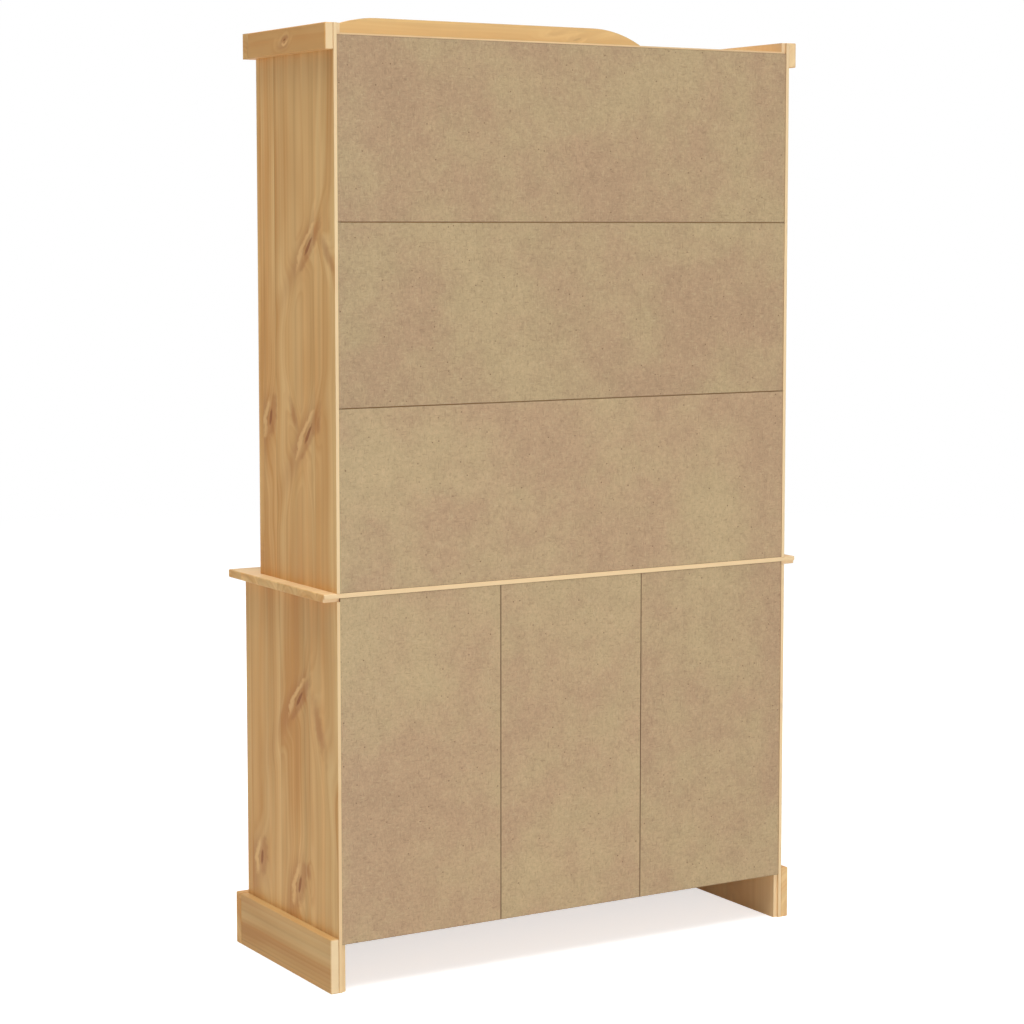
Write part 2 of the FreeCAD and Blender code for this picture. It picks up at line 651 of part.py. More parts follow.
def build_base_door(bay):
    """One base door: a frame with a raised panel in its grooves, a knob, and two hinges."""
    low, high = OPENINGS[bay]
    name = f"base_door_{bay}"
    across = (f"({low} + gap)", f"({high} - gap)")
    height = (f"({DOOR_SILL} + gap)", f"({DOOR_HEAD} - gap)")
    opening_x = widened(across, "-door_stile")
    opening_z = widened(height, "-door_rail")
    groove = away(1, BASE_FRONT, "groove_inset", "groove_inset + groove_width")
    seat = box(f"{name}_seat", widened(opening_x, "groove_depth"), groove, widened(opening_z, "groove_depth"))
    members = door_members(name, across, (BASE_FRONT, BASE_INNER), height, seat)
    node(f"{name}_frame", grouped(f"{name}_frame_set", members))
    node(f"{name}_panel", raised_panel(f"{name}_panel", opening_x, opening_z, groove))
    side = HINGE_SIDES[bay]
    free = across[1] if side < 0 else across[0]
    knob(f"{name}_knob", f"({free} + {side} * door_stile / 2)", BASE_FRONT, f"({height[1]} - base_knob_drop)")
    levels = [f"({height[0]} + base_hinge_inset)", f"({height[1]} - base_hinge_inset)"]
    hang_door(name, low if side < 0 else high, side, BASE_FRONT, levels)
    door_catch(name, f"({free} + {side} * catch_inset)", BASE_INNER, DOOR_HEAD)


def build_hutch_door(hand, side):
    """One hutch door: a glazed frame with bars at the shelves, a knob, and three hinges."""
    name = f"hutch_door_{hand}"
    across = mirrored(side, "(meeting_gap / 2)", f"({HUTCH_EDGE} - gap)")
    height = (f"({HUTCH_SILL} + gap)", f"({HUTCH_HEAD} - gap)")
    opening_x = widened(across, "-door_stile")
    opening_z = widened(height, "-door_rail")
    pane = away(1, HUTCH_FRONT, "glass_inset", "glass_inset + glass_thick")
    seat_x = widened(opening_x, "glass_lap")
    seat_z = widened(opening_z, "glass_lap")
    seat = box(f"{name}_seat", seat_x, (pane[0], HUTCH_INNER), seat_z)
    members = door_members(name, across, (HUTCH_FRONT, HUTCH_INNER), height, seat)
    for place, level in SHELF_LEVELS.items():
        members.append(box(f"{name}_bar_{place}", opening_x, (HUTCH_FRONT, pane[0]),
                           (f"({level} - glazing_bar / 2)", f"({level} + glazing_bar / 2)")))
    bead = (pane[1], HUTCH_INNER)
    for place, z in (("bottom", (seat_z[0], opening_z[0])), ("top", (opening_z[1], seat_z[1]))):
        members.append(box(f"{name}_bead_{place}", seat_x, bead, z))
    for place, x in (("left", (seat_x[0], opening_x[0])), ("right", (opening_x[1], seat_x[1]))):
        members.append(box(f"{name}_bead_{place}", x, bead, opening_z))
    node(f"{name}_frame", grouped(f"{name}_frame_set", members))
    play = "-panel_play"
    node(f"{name}_glass", box(f"{name}_pane", widened(seat_x, play), pane, widened(seat_z, play)))
    free = across[1] if side < 0 else across[0]
    knob_level = "(base_height + hutch_knob_height)"
    knob(f"{name}_knob", f"({free} + {side} * door_stile / 2)", HUTCH_FRONT, knob_level)
    levels = [f"({height[0]} + hutch_hinge_inset)", middle(*height), f"({height[1]} - hutch_hinge_inset)"]
    hang_door(name, f"({side} * {HUTCH_EDGE})", side, HUTCH_FRONT, levels)
    door_catch(name, f"({free} + {side} * catch_inset)", HUTCH_INNER, HUTCH_HEAD)


frame_leaves = []
hinge_pins = []
door_catches = []


def hinge_leaf(name, axis, side, level, knuckles):
    """A leaf on the front face beside the hinge axis, with a tab and a bored knuckle in each given span."""
    x, front = axis
    depth = (f"({front} - leaf_thick)", front)
    centre = (x, f"({front} - knuckle_stand)")
    height = (f"({level} - leaf_height / 2)", f"({level} + leaf_height / 2)")
    plate = box(f"{name}_plate_blank", away(side, x, "knuckle_stand", "leaf_reach"), depth, height)
    far_edges = (6, 8) if side > 0 else (2, 4)
    solids = [eased(f"{name}_plate", plate, "leaf_corner", far_edges)]
    for index, span in enumerate(knuckles):
        solids.append(box(f"{name}_tab_{index}", away(side, x, "gap / 2", "knuckle_stand"), depth, span))
        solids.append(rod(f"{name}_knuckle_{index}", centre, "knuckle_radius", *span))
    bore = rod(f"{name}_bore", centre, "pin_radius + pin_play", *height)
    return cut(name, fused(f"{name}_blank", solids), bore)


def hinge(name, axis, side, level):
    """A hinge of two leaves on one pin: returns the leaf that moves with the door."""
    x, front = axis
    third = "leaf_height / 6"
    play = "knuckle_play / 2"
    low, high = f"({level} - leaf_height / 2)", f"({level} + leaf_height / 2)"
    outer = [(low, f"({level} - {third} - {play})"), (f"({level} + {third} + {play})", high)]
    inner = [(f"({level} - {third} + {play})", f"({level} + {third} - {play})")]
    frame_leaves.append(hinge_leaf(f"{name}_frame_leaf", axis, side, level, outer))
    centre = (x, f"({front} - knuckle_stand)")
    hinge_pins.append(fused(f"{name}_pin", [
        rod(f"{name}_shank", centre, "pin_radius", low, high),
        rod(f"{name}_foot", centre, "pin_head_radius", f"({low} - pin_head)", low),
        rod(f"{name}_head", centre, "pin_head_radius", high, f"({high} + pin_head)"),
    ]))
    return hinge_leaf(f"{name}_door_leaf", axis, -side, level, inner)


def hang_door(name, edge, side, front, levels):
    """Hinges at the given levels, on the axis over the middle of the gap beside a door."""
    axis = (f"({edge} - {side} * gap / 2)", front)
    leaves = [hinge(f"{name}_hinge_{index}", axis, side, level) for index, level in enumerate(levels)]
    node(f"{name}_hinge_leaves", grouped(f"{name}_leaf_set", leaves))


def door_catch(name, x, face, head):
    """A catch behind the rail above a door, hanging down to stop it."""
    door_catches.append(box(f"{name}_catch", (f"({x} - catch_width / 2)", f"({x} + catch_width / 2)"),
                            (face, f"({face} + catch_depth)"),
                            (f"({head} - catch_hang)", f"({head} - catch_hang + catch_height)")))


def build_hardware():
    """Fixed halves of the hinges, their pins, and the door catches."""
    node("hinge_frame_leaves", grouped("frame_leaf_set", frame_leaves))
    node("hinge_pins", grouped("pin_set", hinge_pins))
    node("door_catches", grouped("catch_set", door_catches))


def check_model():
    """Stop if any object failed to rebuild, or a sub-part is empty or not valid."""
    doc.recompute()
    failed = [thing.Name for thing in doc.Objects if {"Invalid", "Error"} & set(thing.State)]
    if failed:
        raise RuntimeError(f"failed to rebuild: {failed}")
    for name, solid in nodes.items():
        if solid.Shape.isNull() or not solid.Shape.isValid() or not solid.Shape.Solids:
            raise RuntimeError(f"{name} is not a valid solid")


def write_parts():
    """Write each sub-part to its own file."""
    os.makedirs("parts", exist_ok=True)
    for name, solid in nodes.items():
        solid.Shape.exportStep(f"parts/{name}.step")
    print(f"{len(nodes)} sub-parts written")


fill_sheet()
build_side_boards()
build_base_top()
build_base_inside()
build_backs()
build_hutch_inside()
build_base_frame()
build_hutch_frame()
build_trim()
build_crest()
build_runners()
build_dowels()
for opening in OPENINGS:
    build_drawer(opening)
    build_base_door(opening)
for hand_name, hand_side in SIDES.items():
    build_hutch_door(hand_name, hand_side)
build_hardware()
check_model()
write_parts()
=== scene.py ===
"""Dress the pine highboard and set it in a plain white studio.

Everything is in metres in the part's own frame: +Z up, the front faces -Y, and left is -X.
"""

from __future__ import annotations

import logging
import math
from collections.abc import Mapping, Sequence
from dataclasses import dataclass, field
from enum import Enum
from functools import reduce
from typing import Any, ClassVar

import bpy
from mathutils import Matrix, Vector

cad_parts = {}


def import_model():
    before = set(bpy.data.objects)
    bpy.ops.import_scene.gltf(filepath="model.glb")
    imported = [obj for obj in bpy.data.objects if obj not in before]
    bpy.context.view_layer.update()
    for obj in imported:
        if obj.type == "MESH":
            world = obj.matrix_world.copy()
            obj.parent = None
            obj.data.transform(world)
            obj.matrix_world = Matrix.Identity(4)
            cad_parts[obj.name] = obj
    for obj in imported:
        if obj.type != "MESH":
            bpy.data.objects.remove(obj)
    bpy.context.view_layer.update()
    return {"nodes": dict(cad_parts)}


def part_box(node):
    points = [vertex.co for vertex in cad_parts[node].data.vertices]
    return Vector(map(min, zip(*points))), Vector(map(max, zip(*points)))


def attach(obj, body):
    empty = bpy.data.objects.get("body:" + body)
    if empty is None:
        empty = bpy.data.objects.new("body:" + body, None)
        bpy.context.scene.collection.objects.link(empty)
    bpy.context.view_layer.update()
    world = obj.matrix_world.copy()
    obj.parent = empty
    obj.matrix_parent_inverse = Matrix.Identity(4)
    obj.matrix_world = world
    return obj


Colour = tuple[float, float, float, float]
Triple = tuple[float, float, float]
Span = tuple[float, float]
Inputs = Mapping[str | int, Any]
Values = dict[str, "Value"]
Material = bpy.types.Material

LOG = logging.getLogger("highboard")
WHITE: Colour = (1.0, 1.0, 1.0, 1.0)
BACKWARD: Triple = (0.0, 1.0, 0.0)
SEEDS = 97
SEED_STEP = 0.37
BAYS = ("left", "centre", "right")
HANDS = ("left", "right")


def srgb(red: int, green: int, blue: int) -> Colour:
    """Turn a shade written in 0 to 255 into the linear colour that shaders use.

    Args:
        red: Red part.
        green: Green part.
        blue: Blue part.

    Returns:
        Linear red, green, blue and an opacity of 1.
    """

    def linear(part: int) -> float:
        """Turn one part of the shade."""
        share = part / 255
        return share / 12.92 if share <= 0.04045 else ((share + 0.055) / 1.055) ** 2.4

    return linear(red), linear(green), linear(blue), 1.0


def toned(shade: Colour, tone: float) -> Colour:
    """Make a colour lighter or darker by a factor."""
    red, green, blue, opacity = shade
    return red * tone, green * tone, blue * tone, opacity


def seed_of(name: str) -> float:
    """Draw a seed from a name, so that each board has a figure of its own."""
    total = sum(ord(letter) * index for index, letter in enumerate(name, start=1))
    return total % SEEDS * SEED_STEP


def middle_of(node: str) -> Vector:
    """Middle of a CAD node's box."""
    low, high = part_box(node)
    return (low + high) / 2


def new_object(name: str, data: Any) -> bpy.types.Object:
    """Put a new object in the scene.

    Args:
        name: Its name.
        data: Its mesh, light or camera.

    Returns:
        The object.
    """
    piece = bpy.data.objects.new(name, data)
    bpy.context.scene.collection.objects.link(piece)
    return piece


@dataclass(frozen=True)
class Value:
    """What a node puts out. Reckoning with it adds nodes to its graph."""

    graph: Graph
    socket: bpy.types.NodeSocket

    def __add__(self, other: Value | float) -> Value:
        """Sum of two numbers."""
        return self.graph.math("ADD", self, other)

    def __sub__(self, other: Value | float) -> Value:
        """Difference of two numbers."""
        return self.graph.math("SUBTRACT", self, other)

    def __mul__(self, other: Value | float) -> Value:
        """Product of two numbers."""
        return self.graph.math("MULTIPLY", self, other)

    def __truediv__(self, other: Value | float) -> Value:
        """Quotient of two numbers."""
        return self.graph.math("DIVIDE", self, other)

    def most(self, other: Value) -> Value:
        """The greater of two numbers."""
        return self.graph.math("MAXIMUM", self, other)

    def least(self, other: Value) -> Value:
        """The smaller of two numbers."""
        return self.graph.math("MINIMUM", self, other)

    def around(self, swing: float, level: float = 1.0) -> Value:
        """Turn noise from 0 to 1 into a number that swings about a level."""
        return self.graph.math("MULTIPLY_ADD", self, swing, level - swing / 2)

    def ease(self, low: float, high: float, start: float = 0.0, end: float = 1.0) -> Value:
        """Go smoothly from start to end while the number goes from low to high."""
        return self.graph.out("ShaderNodeMapRange", {0: self, 1: low, 2: high, 3: start, 4: end},
                              interpolation_type="SMOOTHSTEP")


@dataclass
class Graph:
    """A node tree that is being drawn: each method adds a node and returns what it puts out."""

    tree: bpy.types.NodeTree

    def add(self, kind: str, inputs: Inputs | None = None, **settings: Any) -> bpy.types.Node:
        """Add a node.

        Args:
            kind: Blender's name for the type of node.
            inputs: What its inputs get, by name or number: another node's value, or a plain one.
            settings: Properties of the node itself.

        Returns:
            The new node.
        """
        node = self.tree.nodes.new(kind)
        for name, setting in settings.items():
            setattr(node, name, setting)
        for key, value in (inputs or {}).items():
            if isinstance(value, Value):
                self.tree.links.new(value.socket, node.inputs[key])
            else:
                node.inputs[key].default_value = value
        return node

    def out(self, kind: str, inputs: Inputs | None = None, **settings: Any) -> Value:
        """Add a node and return its first output."""
        return Value(self, self.add(kind, inputs, **settings).outputs[0])

    def outs(self, kind: str, inputs: Inputs | None = None, **settings: Any) -> Values:
        """Add a node and return its outputs by name."""
        node = self.add(kind, inputs, **settings)
        return {socket.name: Value(self, socket) for socket in node.outputs}

    def math(self, operation: str, *values: Any) -> Value:
        """Work out a number from one, two or three numbers."""
        return self.out("ShaderNodeMath", dict(enumerate(values)), operation=operation)

    def vector(self, operation: str, *values: Any) -> Value:
        """Work out a vector from one or two vectors."""
        return self.out("ShaderNodeVectorMath", dict(enumerate(values)), operation=operation)

    def dot(self, first: Any, second: Any) -> Value:
        """Tell how far two directions agree: 1 if they are the same, -1 if they are opposite."""
        both = {0: first, 1: second}
        return self.outs("ShaderNodeVectorMath", both, operation="DOT_PRODUCT")["Value"]

    def radius(self, first: Value, second: Value) -> Value:
        """Distance from the middle, from two sides of a right angle."""
        return self.math("SQRT", first * first + second * second)

    def join(self, x: Any, y: Any, z: Any) -> Value:
        """Make a vector of three numbers."""
        return self.out("ShaderNodeCombineXYZ", {0: x, 1: y, 2: z})

    def split(self, vector: Value) -> tuple[Value, Value, Value]:
        """Take a vector or colour apart into three numbers."""
        x, y, z = self.outs("ShaderNodeSeparateXYZ", {0: vector}).values()
        return x, y, z

    def mix(self, share: Any, first: Any, second: Any) -> Value:
        """Mix two colours."""
        node = self.add("ShaderNodeMix", {0: share, 6: first, 7: second}, data_type="RGBA")
        return Value(self, node.outputs[2])

    def shade(self, colour: Value, factor: Any) -> Value:
        """Make a colour lighter or darker by a factor."""
        return self.out("ShaderNodeVectorMath", {0: colour, 3: factor}, operation="SCALE")

    def noise(self, vector: Value, scale: Any, detail: float = 2.0, rough: float = 0.5,
              bend: float = 0.0) -> Value:
        """Cloudy noise from 0 to 1."""
        return self.out("ShaderNodeTexNoise", {"Vector": vector, "Scale": scale, "Detail": detail,
                                               "Roughness": rough, "Distortion": bend})

    def stretched(self, place: Sequence[Value], scales: Triple, detail: float = 2.0,
                  rough: float = 0.5) -> Value:
        """Cloudy noise from 0 to 1, with a scale for each of the three numbers of a place."""
        return self.noise(self.vector("MULTIPLY", self.join(*place), scales), 1.0, detail, rough)

    def lots(self, vector: Value) -> tuple[Value, Value, Value]:
        """Three numbers drawn by lot for a vector, always the same ones for the same vector."""
        return self.split(self.outs("ShaderNodeTexWhiteNoise", {"Vector": vector})["Color"])

    def place(self) -> tuple[Value, Value]:
        """Place in the part's frame, and the way that a face looks."""
        outputs = self.outs("ShaderNodeTexCoord")
        return outputs["Object"], outputs["Normal"]

    def relief(self, height: Value, metres: float, share: float, **start: Value) -> Value:
        """Relief of 0 to 1 as a normal: metres of a 1, how much shows, and a Normal to start from."""
        inputs = {"Height": height, "Distance": metres, "Strength": share, **start}
        return self.out("ShaderNodeBump", inputs)

    def cover(self, inputs: Inputs) -> None:
        """End a material with one Principled shader, from that shader's inputs."""
        self.add("ShaderNodeOutputMaterial", {"Surface": self.out("ShaderNodeBsdfPrincipled", inputs)})


def new_material(name: str) -> tuple[Material, Graph]:
    """Start a material.

    Args:
        name: Its name.

    Returns:
        The material, and its graph with no nodes yet.
    """
    material = bpy.data.materials.new(name)
    material.use_nodes = True
    material.node_tree.nodes.clear()
    return material, Graph(material.node_tree)


def new_group(name: str, kind: str, inputs: Mapping[str, Any],
              outputs: Mapping[str, str]) -> tuple[Graph, Values]:
    """Start a node group.

    Args:
        name: Its name.
        kind: Blender's name for the type of its tree.
        inputs: Its inputs, each with the value that it has by itself. Geometry has none.
        outputs: Its outputs, each with the type of its socket.

    Returns:
        The group's graph, and its inputs by name.
    """
    tree = bpy.data.node_groups.new(name, kind)
    plain = {type(None): "Geometry", int: "Int", float: "Float"}
    for label, value in inputs.items():
        word = {3: "Vector", 4: "Color"}[len(value)] if isinstance(value, tuple) else plain[type(value)]
        socket = tree.interface.new_socket(label, in_out="INPUT", socket_type=f"NodeSocket{word}")
        if value is not None:
            socket.default_value = value
    for label, word in outputs.items():
        tree.interface.new_socket(label, in_out="OUTPUT", socket_type=f"NodeSocket{word}")
    graph = Graph(tree)
    return graph, graph.outs("NodeGroupInput")


class Effect:
    """A shader node group that several finishes share, drawn once."""

    name: ClassVar[str]
    inputs: ClassVar[dict[str, Any]]
    outputs: ClassVar[dict[str, str]]

    def __init__(self, graph: Graph, given: Values) -> None:
        """Start the group's own graph, with the group's inputs by name."""
        self.graph = graph
        self.given = given

    def draw(self) -> Values:
        """Draw the inside of the group, and return what it puts out by name."""
        raise NotImplementedError

    @classmethod
    def put(cls, graph: Graph, values: Mapping[str, Any]) -> Values:
        """Put the group in a graph, and draw it first if it isn't there yet.

        Args:
            graph: The graph that gets the group.
            values: What the group's inputs get.

        Returns:
            The group's outputs by name.
        """
        tree = bpy.data.node_groups.get(cls.name)
        if tree is None:
            inner, given = new_group(cls.name, "ShaderNodeTree", cls.inputs, cls.outputs)
            inner.add("NodeGroupOutput", cls(inner, given).draw())
            tree = inner.tree
        return graph.outs("ShaderNodeGroup", values, node_tree=tree)


class SpikeKnot(Effect):
    """A branch cut slantwise: a dark heart in a pale sliver, with a dark rim, in a brown cloud.

    With Spike at 0 it is a plain brown streak instead.
    """

    name = "spike knot"
    inputs = {"Offset": (0.0, 0.0, 0.0), "Half Length": 0.035, "Half Width": 0.022, "Lean": 0.3,
              "Spike": 1.0}
    outputs = dict.fromkeys(("Bulge", "Heart", "Sliver", "Shadow"), "Float")
    ragged_scale: ClassVar[float] = 70.0
    ragged_share: ClassVar[float] = 0.8

    def draw(self) -> Values:
        """Draw masks from the distance to an ellipse that leans.

        Returns:
            The masks by name.
        """
        graph, given = self.graph, self.given
        along, across, _ = graph.split(given["Offset"])
        far = along / given["Half Length"]
        wide = (across - along * given["Lean"]) / given["Half Width"]
        ragged = graph.noise(given["Offset"], self.ragged_scale).around(self.ragged_share, 0.0)
        ring = graph.radius(far, wide) + ragged
        heart = graph.radius(far * 2.1, (wide - 0.25) * 3.4) + ragged
        band = ring.ease(0.3, 0.6) * ring.ease(0.8, 1.15, 1.0, 0.0) * wide.ease(-0.45, 0.15, 1.0, 0.0)
        rim = ring.ease(0.9, 1.5, 0.8, 0.0) * wide.ease(-0.4, 0.5)
        tail = far / along.ease(-0.02, 0.02, 1.8, 1.0)
        cloud = graph.radius(tail, wide + 0.5).ease(0.3, 2.4, 1.0, 0.0)
        spike = given["Spike"]
        streak = ring.ease(0.2, 1.3, 0.85, 0.0) * graph.math("SUBTRACT", 1.0, spike)
        return {
            "Bulge": graph.radius(tail, wide).ease(0.0, 2.8, 1.0, 0.0),
            "Heart": heart.ease(0.5, 1.0, 1.0, 0.0) * spike,
            "Sliver": band * spike,
            "Shadow": (rim.most(cloud * cloud * 0.7) * spike).most(streak),
        }


class PineFigure(Effect):
    """Pine boards glued from staves: growth rings about a pith, long streaks, and knots.

    Its noises have scales for the places along and across a board, and for a number of its stave.
    Only flames have them for ring, stave and length, and fibres for the three places on the board.
    """

    name = "pine figure"
    inputs = {
        "Board": (0.0, 0.0, 0.0), "Seed": 0.0, "Stave": 0.09, "Ring": 0.006, "Knots": 0.6,
        "Bulge": 0.0, "Heart": 0.0, "Sliver": 0.0, "Shadow": 0.0,
        "Pale": srgb(238, 196, 134), "Amber": srgb(212, 152, 84), "Brown": srgb(150, 88, 44),
    }
    outputs = {"Color": "Color", "Roughness": "Float", "Height": "Float"}
    knot_room: ClassVar[Span] = (0.44, 0.17)
    knot_push: ClassVar[float] = 0.022
    pith_room: ClassVar[Span] = (0.05, 0.02)
    seam: ClassVar[Span] = (0.0003, 0.0014)
    drift: ClassVar[Triple] = (1.2, 6.0, 1.0)
    wander: ClassVar[Triple] = (4.0, 30.0, 1.0)
    flame: ClassVar[Triple] = (28.0, 1.0, 0.5)
    streak: ClassVar[Triple] = (0.8, 75.0, 1.0)
    patch: ClassVar[Triple] = (2.4, 11.0, 1.0)
    broad: ClassVar[Triple] = (0.6, 24.0, 1.0)
    fibre: ClassVar[Triple] = (14.0, 900.0, 900.0)

    def draw(self) -> Values:
        """Draw rings about each stave's own pith, bent by the knots, and colour them.

        Returns:
            Colour, roughness and height by name.
        """
        graph, given = self.graph, self.given
        along, across, through = graph.split(given["Board"])
        seed, stave = given["Seed"], given["Stave"]
        count = across / stave + seed
        number = graph.math("FLOOR", count)
        inside = graph.math("FRACT", count) - 0.5
        shift, depth, tone = graph.lots(graph.join(number, seed, 0.0))
        knots = self.knots(along, across)
        salt = seed * 7.0 + number * 3.7
        drift = graph.stretched((along, across, salt), self.drift)
        wander = graph.stretched((along, across, salt), self.wander)
        flat = (inside - shift.around(1.2, 0.0)) * stave + drift.around(0.05, 0.0)
        spread, nearest = self.pith_room
        radius = graph.radius(flat, through + (depth * spread + nearest))
        radius = radius + drift.around(0.03, 0.0) + wander.around(0.004, 0.0)
        radius = knots["Bulge"] * self.knot_push + radius
        phase = radius / given["Ring"]
        turn = graph.math("FRACT", phase)
        force, _, _ = graph.lots(graph.join(graph.math("FLOOR", phase), number, seed))
        late = turn.ease(0.15, 0.75) * turn.ease(0.78, 1.0, 1.0, 0.0) * force.around(0.8, 0.6)
        flame = graph.stretched((radius, salt, along), self.flame, rough=0.6)
        figure = late * 0.28 + flame.ease(0.3, 0.68, 0.0, 0.75)
        colour, fibre = self.colour((along, across, through), figure, tone, salt)
        edge = stave * 0.5 - graph.math("ABSOLUTE", inside * stave)
        line = edge.ease(*self.seam, 0.9, 1.0)
        colour = graph.shade(colour, line)
        colour = graph.mix(knots["Shadow"] * 0.5, colour, given["Brown"])
        colour = graph.mix(knots["Sliver"] * 0.6, colour, graph.shade(given["Pale"], 1.1))
        colour = graph.mix(knots["Heart"] * 0.75, colour, graph.shade(given["Brown"], 0.75))
        return {
            "Color": colour,
            "Roughness": late * -0.07 + fibre.around(0.16, 0.5),
            "Height": knots["Heart"] * -0.4 + (line * 1.5 + (late * 0.5 + fibre)),
        }

    def knots(self, along: Value, across: Value) -> Values:
        """Scatter knots over the board, and add the ones that are given.

        Args:
            along: Place along the grain.
            across: Place across the grain.

        Returns:
            The knots' masks by name.
        """
        graph, given = self.graph, self.given
        length, width = self.knot_room
        seed = given["Seed"]
        spread = graph.join(seed * 3.3 + along / length, seed * 1.7 + across / width, 0.0)
        grid = {"Vector": spread, "Scale": 1.0, "Randomness": 0.75}
        cell, beyond = (
            graph.outs("ShaderNodeTexVoronoi", grid, voronoi_dimensions="2D", feature=feature)
            for feature in ("F1", "F2"))
        chance, size, lean = graph.split(cell["Color"])
        away = graph.vector("SUBTRACT", spread, cell["Position"])
        found = SpikeKnot.put(graph, {
            "Offset": graph.vector("MULTIPLY", away, (length, width, 0.0)),
            "Half Length": size * 0.03 + 0.012,
            "Half Width": size * 0.012 + 0.009,
            "Lean": lean.around(0.8, 0.0),
        })
        room = beyond["Distance"] - cell["Distance"]
        there = graph.math("LESS_THAN", chance, given["Knots"]) * room.ease(0.0, 0.3)
        return {label: found[label] * there + given[label] for label in SpikeKnot.outputs}

    def colour(self, place: tuple[Value, Value, Value], figure: Value, tone: Value,
               salt: Value) -> tuple[Value, Value]:
        """Colour the rings, with streaks, warm patches and fine fibres.

        Args:
            place: Places along, across and through the board.
            figure: Share of amber in rings and flames.
            tone: Lot that sets a stave's tone.
            salt: Number that differs from stave to stave.

        Returns:
            The colour, and the fibres as a number from 0 to 1.
        """
        graph, given = self.graph, self.given
        along, across, through = place
        side = (along, across + through, salt)
        streak = graph.stretched(side, self.streak, 3.0, 0.6)
        patch = graph.stretched(side, self.patch)
        fibre = graph.stretched(place, self.fibre, rough=0.6)
        broad = graph.stretched(side, self.broad, rough=0.6)
        share = figure + patch.ease(0.4, 0.75, 0.0, 0.4)
        colour = graph.mix(share, given["Pale"], given["Amber"])
        light = streak.around(0.2) * tone.around(0.12) * broad.around(0.3)
        return graph.shade(colour, light * patch.around(-0.14) * fibre.around(0.1)), fibre


class EdgeWearAndHighlight(Effect):
    """Rounded, worn edges: a mask, partly painted highlight, and the normal of the rounded edge."""

    name = "edge rubbing and highlight"
    inputs = {"Place": (0.0, 0.0, 0.0), "Breaks": 60.0}
    outputs = {"Rubbed": "Float", "Normal": "Vector"}
    radius: ClassVar[float] = 0.0012

    def draw(self) -> Values:
        """Compare the rounded normal with the flat one, and break the mask up.

        Returns:
            The mask and the normal by name.
        """
        graph, given = self.graph, self.given
        rounded = graph.out("ShaderNodeBevel", {"Radius": self.radius}, samples=4)
        flat = graph.outs("ShaderNodeNewGeometry")["Normal"]
        edge = graph.dot(rounded, flat).ease(0.82, 0.99, 1.0, 0.0)
        breaks = graph.noise(given["Place"], given["Breaks"], 3.0).ease(0.3, 0.62)
        return {"Rubbed": edge * breaks, "Normal": rounded}


class PressedFibre(Effect):
    """Pressed wood fibre: blotches, mottling, short pale fibres, dark specks and dark sawn edges, which
    also paint the shade in the joints between panels.

    Its cloudy noises have a scale, a detail and a roughness each.
    """

    name = "pressed fibre"
    inputs = {
        "Place": (0.0, 0.0, 0.0), "Half Size": (0.1, 0.1, 0.1), "Seed": 0.0,
        "Tan": srgb(185, 162, 124), "Rose": srgb(184, 154, 124), "Strand": srgb(208, 188, 150),
        "Speck": srgb(112, 84, 58),
    }
    outputs = {"Color": "Color", "Height": "Float"}
    cloud: ClassVar[Triple] = (4.0, 5.0, 0.62)
    mottle: ClassVar[Triple] = (26.0, 3.0, 0.6)
    clump: ClassVar[Triple] = (170.0, 2.0, 0.6)
    grit: ClassVar[Triple] = (420.0, 2.0, 0.65)
    strand_ways: ClassVar[tuple[Triple, Triple]] = ((310.0, 0.0, 80.0), (80.0, 0.0, 310.0))
    speck_scale: ClassVar[float] = 64.0
    speck_share: ClassVar[float] = 0.35
    sawn_edge_and_joint_shade: ClassVar[Span] = (0.0002, 0.0013)

    def draw(self) -> Values:
        """Draw each layer from the place on the panel, and lay them over each other.

        Returns:
            Colour and height by name.
        """
        graph, given = self.graph, self.given
        seed = given["Seed"]
        moved = graph.vector("ADD", given["Place"], graph.join(seed, seed * 1.9, 0.0))
        cloud, mottle, clump, grit = (graph.noise(moved, *sizes) for sizes in (
            self.cloud, self.mottle, self.clump, self.grit))
        upright, level = (graph.noise(graph.vector("MULTIPLY", moved, way), 1.0, 1.0, 0.5, 0.8)
                          for way in self.strand_ways)
        strands = upright.most(level).ease(0.58, 0.78)
        gaps = upright.least(level).ease(0.24, 0.4, 1.0, 0.0)
        dots = graph.outs("ShaderNodeTexVoronoi", {"Vector": moved, "Scale": self.speck_scale})
        chance, _, _ = graph.split(dots["Color"])
        there = graph.math("LESS_THAN", chance, self.speck_share)
        # Specks, and dark borders that are sawn edges and also painted shade in the joints.
        dark = (dots["Distance"].ease(0.05, 0.13, 1.0, 0.0) * there).most(self.edges())
        colour = graph.mix(cloud.ease(0.36, 0.64), given["Tan"], given["Rose"])
        light = mottle.around(0.26) * grit.around(0.28) * clump.around(0.38) * cloud.around(-0.3)
        colour = graph.shade(colour, light)
        colour = graph.mix(strands * 0.4, colour, given["Strand"])
        colour = graph.mix(gaps * 0.25, colour, given["Speck"])
        colour = graph.mix(dark * 0.75, colour, given["Speck"])
        return {"Color": colour, "Height": strands * 0.6 + grit}

    def edges(self) -> Value:
        """Draw the panel's dark sawn edges, also painted shade in the joints, from the place on the
        panel and half the panel's size.

        Returns:
            Their mask.
        """
        away = self.graph.vector("ABSOLUTE", self.given["Place"])
        room = self.graph.vector("SUBTRACT", self.given["Half Size"], away)
        across, _, upright = self.graph.split(room)
        return across.least(upright).ease(*self.sawn_edge_and_joint_shade, 1.0, 0.0)


class Grain(Enum):
    """Which axes of the part run along a board's grain, across it, and through its thickness."""

    UPRIGHT_SIDE = (2, 1, 0)
    UPRIGHT_FRONT = (2, 0, 1)
    LEVEL_FRONT = (0, 2, 1)
    LEVEL_FLAT = (0, 1, 2)
    DEEP_SIDE = (1, 2, 0)


